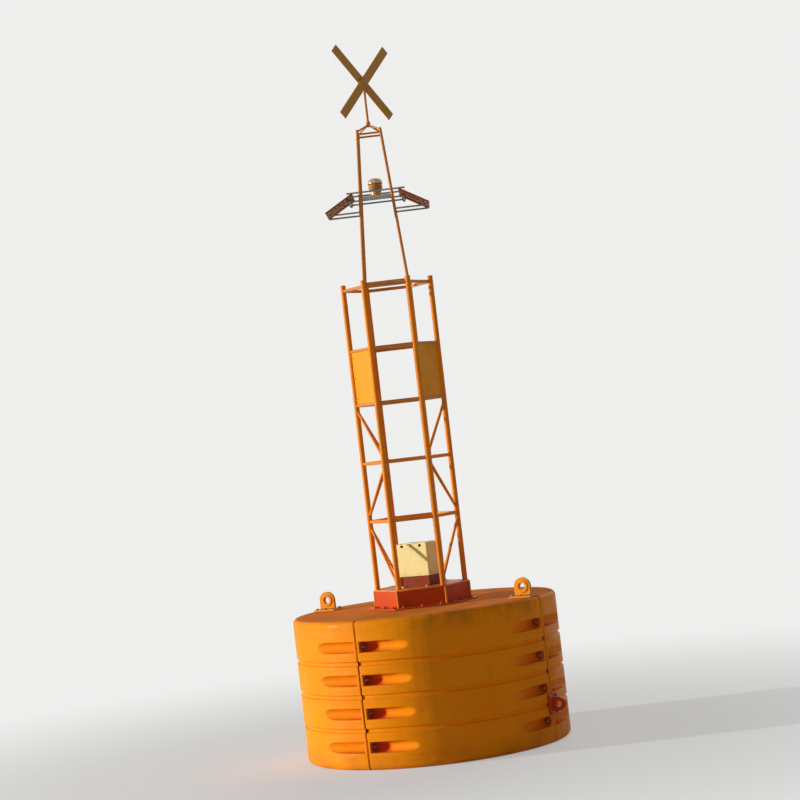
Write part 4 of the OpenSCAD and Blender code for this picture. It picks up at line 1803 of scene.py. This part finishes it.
@dataclass
class SolarPanels:
    """Two sloping solar panels in ribbed trays, with their cells, clamps and boxes."""

    frame: Frame
    inner_x: float = 0.215
    top_height: float = 5.070
    tilt: float = 30.0
    length: float = 0.300
    width: float = 0.520
    tray: float = 0.018
    lip: float = 0.004
    cradle: float = 0.012
    cradle_y: float = 0.153
    rail_x: float = 0.245
    rail_height: float = 5.005
    columns: int = 8
    rows: int = 4
    margin: float = 0.012
    gap: float = 0.003
    glass: float = 0.0008
    cell_up: float = 0.0003
    cell_round: float = 0.0002
    busbar: Pair = (0.0014, 0.0005)
    box: Point = (0.062, 0.090, 0.0125)
    box_x: float = 0.150
    box_z: float = -0.012
    outlet: Outline = ((0.0, -0.004), (0.006, -0.004), (0.0075, -0.002), (0.0075, 0.006),
                       (0.0, 0.006))
    outlet_x: float = -0.034
    outlet_y: float = 0.030
    clamp: float = 0.0145
    clamp_wire: float = 0.0028
    clamp_half: float = 0.0115
    clamp_leg: float = 0.022
    thread: float = 0.008
    bolt_xs: Pair = (0.020, 0.275)

    def slope(self, side: int) -> Matrix:
        """Places a thing on one panel: X down the slope, Z out of the glass.

        Args:
            side: -1 for the left panel, 1 for the right one.

        Returns:
            The placing matrix.
        """
        turn = Matrix.Rotation(math.radians(self.tilt), 4, "Y")
        spot = Matrix.Translation((self.inner_x, 0.0, self.top_height)) @ turn
        return Matrix.Diagonal((side, 1.0, 1.0, 1.0)) @ spot

    def cells(self) -> None:
        """Lays the cells and their busbars under the rim."""
        shape = Shape()
        edge, thick = self.lip + self.margin, self.glass
        step_y = (self.width - 2 * edge) / self.columns
        step_x = (self.length - 2 * edge) / self.rows
        cell = (step_x - self.gap, step_y - self.gap, thick)
        strip = (step_x - self.gap - CLEAR, *self.busbar)
        for side in (-1, 1):
            base = self.slope(side)
            for row in range(self.rows):
                for column in range(self.columns):
                    x = edge + (row + 0.5) * step_x
                    y = -self.width / 2 + edge + (column + 0.5) * step_y
                    shape.finish = 0
                    spot = base @ Matrix.Translation((x, y, self.cell_up))
                    shape.box(cell, spot, self.cell_round, 1)
                    shape.finish = 1
                    for part in (-0.25, 0.25):
                        line = y + part * step_y
                        shape.box(strip, base @ Matrix.Translation((x, line, thick)))
        self.frame.piece(shape, "solar_cell_grid", Slot.CELLS, Palette.CELLS, Palette.BUSBAR)

    def underside(self) -> None:
        """Adds the junction boxes and the clamps under the panels."""
        boxes, clamps = Shape(), Shape()
        leg = self.clamp_leg * UP
        sideways = Matrix.Rotation(math.radians(-90.0), 4, "Y")
        for side in (-1, 1):
            base = self.slope(side)
            under = base @ Matrix.Translation((self.box_x, 0.0, self.box_z))
            boxes.box(self.box, under, 0.003, 3)
            for y in (-self.outlet_y, self.outlet_y):
                spot = under @ Matrix.Translation((self.outlet_x, y, 0.0))
                boxes.lathe(self.outlet, spot @ sideways, 14)
            for y in (-self.cradle_y, self.cradle_y):
                rail = Vector((side * self.rail_x, y, self.rail_height))
                path = []
                for step in range(17):
                    angle = math.pi + math.pi * step / 16
                    ray = Vector((math.cos(angle), 0.0, math.sin(angle)))
                    path.append(rail + self.clamp * ray)
                path = [path[0] + leg, *path, path[-1] + leg]
                for shift in (-self.clamp_half, self.clamp_half):
                    bow = [point + Vector((0.0, shift, 0.0)) for point in path]
                    clamps.sweep(bow, self.clamp_wire, 8)
                for x in self.bolt_xs:
                    spot = base @ Matrix.Translation((x, y, -self.tray - self.cradle))
                    aim = base.to_3x3() @ DOWN
                    Bolt(self.thread).head(clamps, facing(spot.translation, aim))
        self.frame.piece(boxes, "junction_boxes", Slot.CELLS, Palette.RUBBER)
        self.frame.piece(clamps, "panel_clamps", Slot.ZINC, Palette.BOLT)

    def build(self) -> None:
        """Builds the panels' looks."""
        frame = self.frame
        frame.rounded("solar_trays", Palette.TRAY, SHEET_ROUND)
        frame.paint(Palette.BACKING, "solar_panels")
        frame.rounded("solar_cradles", Palette.FRAME, BOX_ROUND)
        frame.rounded("solar_brackets", Palette.ZINC, SHEET_ROUND)
        self.cells()
        self.underside()


@dataclass
class Lantern:
    """Marine lantern on the platform."""

    frame: Frame
    foot: float = 5.039
    foot_height: float = 0.062
    lens_height: float = 0.056
    radius: float = 0.066
    band: Outline = ((-0.008, -0.0024), (0.0012, -0.0024), (0.0016, 0.0), (0.0012, 0.0024),
                     (-0.008, 0.0024))
    thread: float = 0.007
    bolt_inset: float = 0.002
    bolt_up: float = 0.009

    def build(self) -> None:
        """Builds the lantern's looks."""
        frame = self.frame
        frame.paint(Palette.AMBER, "lantern_base")
        frame.paint(Palette.DOME, "lantern_cap")
        frame.paint(Palette.LENS, "lantern_lens")
        bands, bolts = Shape(), Shape()
        lens = self.foot + self.foot_height
        for height in (lens, lens + self.lens_height):
            bands.collar(self.radius, self.band, Matrix.Translation((0.0, 0.0, height)), 64)
        for index in range(4):
            spot = around(45.0 + 90.0 * index, self.radius - self.bolt_inset,
                          self.foot + self.bolt_up)
            Bolt(self.thread).head(bolts, spot)
        self.frame.piece(bands, "lantern_bands", Slot.LENS, Palette.RUBBER)
        self.frame.piece(bolts, "lantern_bolts", Slot.STAINLESS, Palette.STAINLESS)


@dataclass
class Topmark:
    """Crossed topmark on its rod."""

    frame: Frame
    centre: float = 6.095
    turn: float = 45.0
    half_tang: float = 0.006
    thick: float = 0.008
    socket_low: float = 5.683
    thread: float = 0.009
    thread_end: float = 0.006
    bolt_heights: Row = (-0.035, 0.0, 0.035)
    screw: float = 0.007
    screw_up: float = 0.034
    screw_out: float = 0.0175
    screw_turn: float = 20.0

    def build(self) -> None:
        """Builds the topmark's looks."""
        frame = self.frame
        frame.rounded("topmark_rod", Palette.FRAME_SHADED, SHEET_ROUND)
        frame.rounded("topmark_arm_front", Palette.TOPMARK, SHEET_ROUND)
        frame.rounded("topmark_arm_back", Palette.TOPMARK, SHEET_ROUND)
        bolts = Shape()
        turn = Matrix.Rotation(math.radians(self.turn), 4, "Z")
        face = self.half_tang + self.thick
        bolt = Bolt(self.thread)
        for height in self.bolt_heights:
            for side in (-1.0, 1.0):
                spot = turn @ Vector((0.0, side * face, self.centre + height))
                aim = turn.to_3x3() @ Vector((0.0, side, 0.0))
                if side < 0:
                    bolt.head(bolts, facing(spot, aim))
                else:
                    bolt.nut(bolts, facing(spot, aim), self.thread_end)
        for index in range(3):
            angle = math.radians(120.0 * index + self.screw_turn)
            aim = Vector((math.cos(angle), math.sin(angle), 0.0))
            spot = (self.socket_low + self.screw_up) * UP + aim * self.screw_out
            Bolt(self.screw).head(bolts, facing(spot, aim), washer=False)
        self.frame.piece(bolts, "topmark_bolts", Slot.ZINC, Palette.BOLT)


@dataclass
class BatteryBox:
    """Battery box on its plinth inside the tower's foot, with a hinged lid."""

    frame: Frame
    turn: float = -30.0
    width: float = 0.340
    depth: float = 0.220
    foot_top: float = 1.47
    plinth: float = 0.095
    rim: float = 1.820
    lid: float = 0.040
    lid_lip: float = 0.003
    hinge_x: float = 0.100
    seal: float = 0.0042
    seal_in: float = 0.009
    seal_down: float = 0.0055
    seal_corner: float = 0.012
    leaf: Point = (0.052, 0.0022, 0.034)
    leaf_down: float = 0.034
    screw: float = 0.006
    screw_x: float = 0.018
    screw_down: float = 0.040
    gland_xs: Row = (-0.045, 0.0, 0.045)
    gland_up: float = 0.045
    gland_nut: Outline = ((0.0, 0.0), (0.016, 0.0), (0.016, 0.003), (0.0, 0.003))
    gland_body: Outline = ((0.0, 0.003), (0.0125, 0.003), (0.0125, 0.010), (0.010, 0.018),
                           (0.0055, 0.020), (0.0, 0.020))
    tab: Point = (0.030, 0.026, 0.004)
    tab_x: float = 0.1215
    tab_y: float = 0.1044
    tab_bolt_y: float = 0.108
    tab_thread: float = 0.008
    lock: Outline = ((0.0, 0.0), (0.0135, 0.0), (0.0135, 0.002), (0.0115, 0.0035),
                     (0.0, 0.0035))
    lock_x: float = 0.095
    lock_up: float = 0.021
    key: Point = (0.004, 0.016, 0.004)
    key_out: float = 0.0045
    flap: Point = (0.050, 0.034, 0.002)
    flap_in: float = 0.018
    flap_up: float = 0.0015
    flap_screw_x: float = 0.016
    flap_screw_in: float = 0.022
    flap_screw_up: float = 0.0024
    panel: Point = (0.270, 0.130, 0.006)
    panel_front: float = 0.014
    panel_up: float = 0.0022

    def at(self, x: float, y: float, z: float) -> Matrix:
        """Places a thing in the box's own directions."""
        turn = Matrix.Rotation(math.radians(self.turn), 4, "Z")
        return turn @ Matrix.Translation((x, y, z))

    def on_box(self) -> None:
        """Adds the seal, hinge leaves, cable glands and feet of the box."""
        seal, metal, glands = Shape(), Shape(), Shape()
        corner, level, back = self.seal_corner, self.rim - self.seal_down, self.depth / 2
        half_x = self.width / 2 - self.seal_in - corner
        half_y = back - self.seal_in - corner
        path = []
        for x, y, start in ((half_x, half_y, 0.0), (-half_x, half_y, 90.0),
                            (-half_x, -half_y, 180.0), (half_x, -half_y, 270.0)):
            for step in range(5):
                angle = math.radians(start + 22.5 * step)
                path.append(self.at(x + corner * math.cos(angle), y + corner * math.sin(angle),
                                    level).translation)
        seal.sweep(path, self.seal, 8, closed=True)
        backwards = Matrix.Rotation(math.radians(-90.0), 4, "X")
        for middle in (-self.hinge_x, self.hinge_x):
            metal.box(self.leaf, self.at(middle, back + CLEAR, self.rim - self.leaf_down), 0.0008)
            for x in (middle - self.screw_x, middle + self.screw_x):
                spot = self.at(x, back + 2.0 * CLEAR, self.rim - self.screw_down)
                Bolt(self.screw).head(metal, spot @ backwards, washer=False)
        for x in self.gland_xs:
            spot = self.at(x, back, self.foot_top + self.plinth + self.gland_up)
            glands.lathe(self.gland_nut, spot @ backwards, 6)
            glands.lathe(self.gland_body, spot @ backwards, 20)
        thick = self.tab[2]
        for x in (-self.tab_x, self.tab_x):
            for side in (-1.0, 1.0):
                tab = self.at(x, side * self.tab_y, self.foot_top + thick / 2.0)
                metal.box(self.tab, tab, 0.001)
                spot = self.at(x, side * self.tab_bolt_y, self.foot_top + thick)
                Bolt(self.tab_thread).head(metal, spot)
        self.frame.piece(seal, "box_seal", Slot.CREAM, Palette.RUBBER)
        self.frame.piece(metal, "box_fittings", Slot.STAINLESS, Palette.STAINLESS)
        self.frame.piece(glands, "box_glands", Slot.CREAM, Palette.RUBBER)

    def on_lid(self) -> None:
        """Adds the locks, pressed top and hinge leaves of the lid."""
        metal, locks, top = Shape(), Shape(), Shape()
        front, back = -self.depth / 2 - self.lid_lip, self.depth / 2
        level = self.rim + self.lid
        forwards = Matrix.Rotation(math.radians(90.0), 4, "X")
        for side in (-1.0, 1.0):
            out = self.at(side * self.lock_x, front, self.rim + self.lock_up) @ forwards
            locks.lathe(self.lock, out, 28)
            locks.box(self.key, out @ Matrix.Translation((0.0, 0.0, self.key_out)), SHEET_ROUND)
            middle = side * self.hinge_x
            flap = self.at(middle, back - self.flap_in, level + self.flap_up)
            metal.box(self.flap, flap, 0.0007)
            for x in (middle - self.flap_screw_x, middle + self.flap_screw_x):
                spot = self.at(x, back - self.flap_screw_in, level + self.flap_screw_up)
                Bolt(self.screw).head(metal, spot, washer=False)
        spot = self.at(0.0, -self.panel_front, level + self.panel_up)
        top.box(self.panel, spot, 0.0028, 3)
        self.frame.piece(metal, "lid_fittings", Slot.STAINLESS, Palette.STAINLESS, body=Body.LID)
        self.frame.piece(locks, "lid_locks", Slot.CREAM, Palette.RUBBER, body=Body.LID)
        self.frame.piece(top, "lid_panel", Slot.CREAM, Palette.CREAM, body=Body.LID)

    def build(self) -> None:
        """Builds the box's looks."""
        frame = self.frame
        frame.rounded("box_plinth", Palette.PLINTH_SHADED, BOX_ROUND)
        frame.rounded("battery_box", Palette.CREAM, BOX_ROUND, 40.0)
        frame.rounded("box_lid", Palette.CREAM, BOX_ROUND, 40.0, Body.LID)
        frame.paint(Palette.STAINLESS, "hinge_pins")
        self.on_box()
        self.on_lid()


# Studio


@dataclass(frozen=True)
class Lamp:
    """A soft distant lamp, with its azimuth, height angle and apparent size in degrees."""

    name: str
    azimuth: float
    height: float
    strength: float
    spread: float

    def build(self) -> None:
        """Adds the lamp."""
        lamp = bpy.data.lights.new(self.name, "SUN")
        lamp.energy = self.strength
        lamp.angle = math.radians(self.spread)
        thing = bpy.data.objects.new(self.name, lamp)
        bpy.context.scene.collection.objects.link(thing)
        height = math.radians(self.height)
        side = around(self.azimuth, math.cos(height), math.sin(height)).translation
        thing.matrix_world = facing((0.0, 0.0, 8.0), side)


@dataclass
class Studio:
    """Pale floor and backdrop, soft light, and the camera where the photograph has it."""

    eye: Point = (0.433, -19.787, 2.807)
    target: Point = (0.0, 0.0, 3.17)
    lean: float = -6.6
    view_degrees: float = 20.9
    film: float = 36.0
    farthest: float = 200.0
    lamps: tuple[Lamp, ...] = (Lamp("key_light", -88.0, 8.5, 3.75, 2.5),
                               Lamp("front_light", -14.0, 38.0, 0.13, 40.0),
                               Lamp("back_light", 162.0, 35.0, 0.62, 50.0))
    sky: float = 0.17
    backdrop: Linear = (0.86, 0.86, 0.85, 1.0)
    ground: Linear = (0.80, 0.80, 0.79, 1.0)
    glow_reach: Pair = (1.6, 9.0)
    glow_share: Pair = (0.42, 1.0)
    reach: float = 60.0

    def camera(self) -> None:
        """Sets up the camera."""
        lens = bpy.data.cameras.new("camera")
        lens.sensor_width = self.film
        lens.lens = self.film / 2.0 / math.tan(math.radians(self.view_degrees / 2.0))
        lens.clip_end = self.farthest
        thing = bpy.data.objects.new("camera", lens)
        bpy.context.scene.collection.objects.link(thing)
        ahead = (Vector(self.target) - Vector(self.eye)).normalized()
        right = ahead.cross(UP).normalized()
        up = right.cross(ahead)
        lean = math.radians(self.lean)
        tilted = right * math.cos(lean) + up * math.sin(lean)
        over = up * math.cos(lean) - right * math.sin(lean)
        turn = Matrix((tilted, over, -ahead)).transposed().to_4x4()
        thing.matrix_world = Matrix.Translation(self.eye) @ turn
        bpy.context.scene.camera = thing

    def world(self) -> None:
        """Makes the sky: plain for light, the backdrop's colour where it is seen."""
        world = bpy.data.worlds.new("sky")
        bpy.context.scene.world = world
        world.use_nodes = True
        nodes, links = world.node_tree.nodes, world.node_tree.links
        nodes.clear()
        output = nodes.new("ShaderNodeOutputWorld")
        blend = nodes.new("ShaderNodeMixShader")
        plain, seen = nodes.new("ShaderNodeBackground"), nodes.new("ShaderNodeBackground")
        plain.inputs["Color"].default_value = (1.0, 1.0, 1.0, 1.0)
        plain.inputs["Strength"].default_value = self.sky
        seen.inputs["Color"].default_value = self.backdrop
        links.new(self.shown(nodes, links), blend.inputs[0])
        links.new(plain.outputs[0], blend.inputs[1])
        links.new(seen.outputs[0], blend.inputs[2])
        links.new(blend.outputs[0], output.inputs[0])

    def shown(self, nodes: bpy.types.Nodes, links: bpy.types.NodeLinks) -> Socket:
        """Tells the rays that see the backdrop from those that light by it.

        Args:
            nodes: Nodes of the tree.
            links: Links of the tree.

        Returns:
            A socket that is 1 for camera, glossy and transmission rays.
        """
        path = nodes.new("ShaderNodeLightPath")
        last: Socket = path.outputs["Is Camera Ray"]
        for name in ("Is Glossy Ray", "Is Transmission Ray"):
            both = nodes.new("ShaderNodeMath")
            both.operation = "MAXIMUM"
            links.new(last, both.inputs[0])
            links.new(path.outputs[name], both.inputs[1])
            last = both.outputs[0]
        return last

    def floor(self) -> None:
        """Makes the floor, which keeps the shadow and runs out into the backdrop."""
        graph = Graph("studio_floor")
        nodes, links = graph.nodes, graph.links
        nodes.remove(graph.shader)
        plain, glow = nodes.new("ShaderNodeBsdfDiffuse"), nodes.new("ShaderNodeEmission")
        plain.inputs["Color"].default_value = self.ground
        glow.inputs["Color"].default_value = self.backdrop
        length = nodes.new("ShaderNodeVectorMath")
        length.operation = "LENGTH"
        links.new(graph.place, length.inputs[0])
        far = graph.ramp(length.outputs["Value"], *self.glow_reach, *self.glow_share)
        share = graph.math("MULTIPLY", far, self.shown(nodes, links))
        blend = nodes.new("ShaderNodeMixShader")
        links.new(share, blend.inputs[0])
        links.new(plain.outputs[0], blend.inputs[1])
        links.new(glow.outputs[0], blend.inputs[2])
        links.new(blend.outputs[0], graph.output.inputs[0])
        mesh = bpy.data.meshes.new("floor")
        reach = self.reach
        mesh.from_pydata([(-reach, -reach, 0.0), (reach, -reach, 0.0), (reach, reach, 0.0),
                          (-reach, reach, 0.0)], [], [(0, 1, 2, 3)])
        mesh.materials.append(graph.material)
        thing = bpy.data.objects.new("floor", mesh)
        thing.location.z = -CLEAR
        bpy.context.scene.collection.objects.link(thing)
        thing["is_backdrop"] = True

    def build(self) -> None:
        """Builds the studio."""
        self.camera()
        self.world()
        self.floor()
        for lamp in self.lamps:
            lamp.build()
        bpy.context.scene.view_settings.view_transform = "Standard"


def main() -> None:
    """Builds the buoy, one sub-assembly after another, and the studio."""
    logging.basicConfig(level=logging.INFO, format="%(name)s %(message)s")
    frame = Frame()
    Studio().build()
    parts = (FloatBody(frame), Core(frame), Lugs(frame), Tower(frame), Mast(frame),
             SolarPanels(frame), Lantern(frame), Topmark(frame), BatteryBox(frame))
    for part in parts:
        part.build()
        LOG.info("%s done", type(part).__name__)


if __name__ == "__main__":
    main()
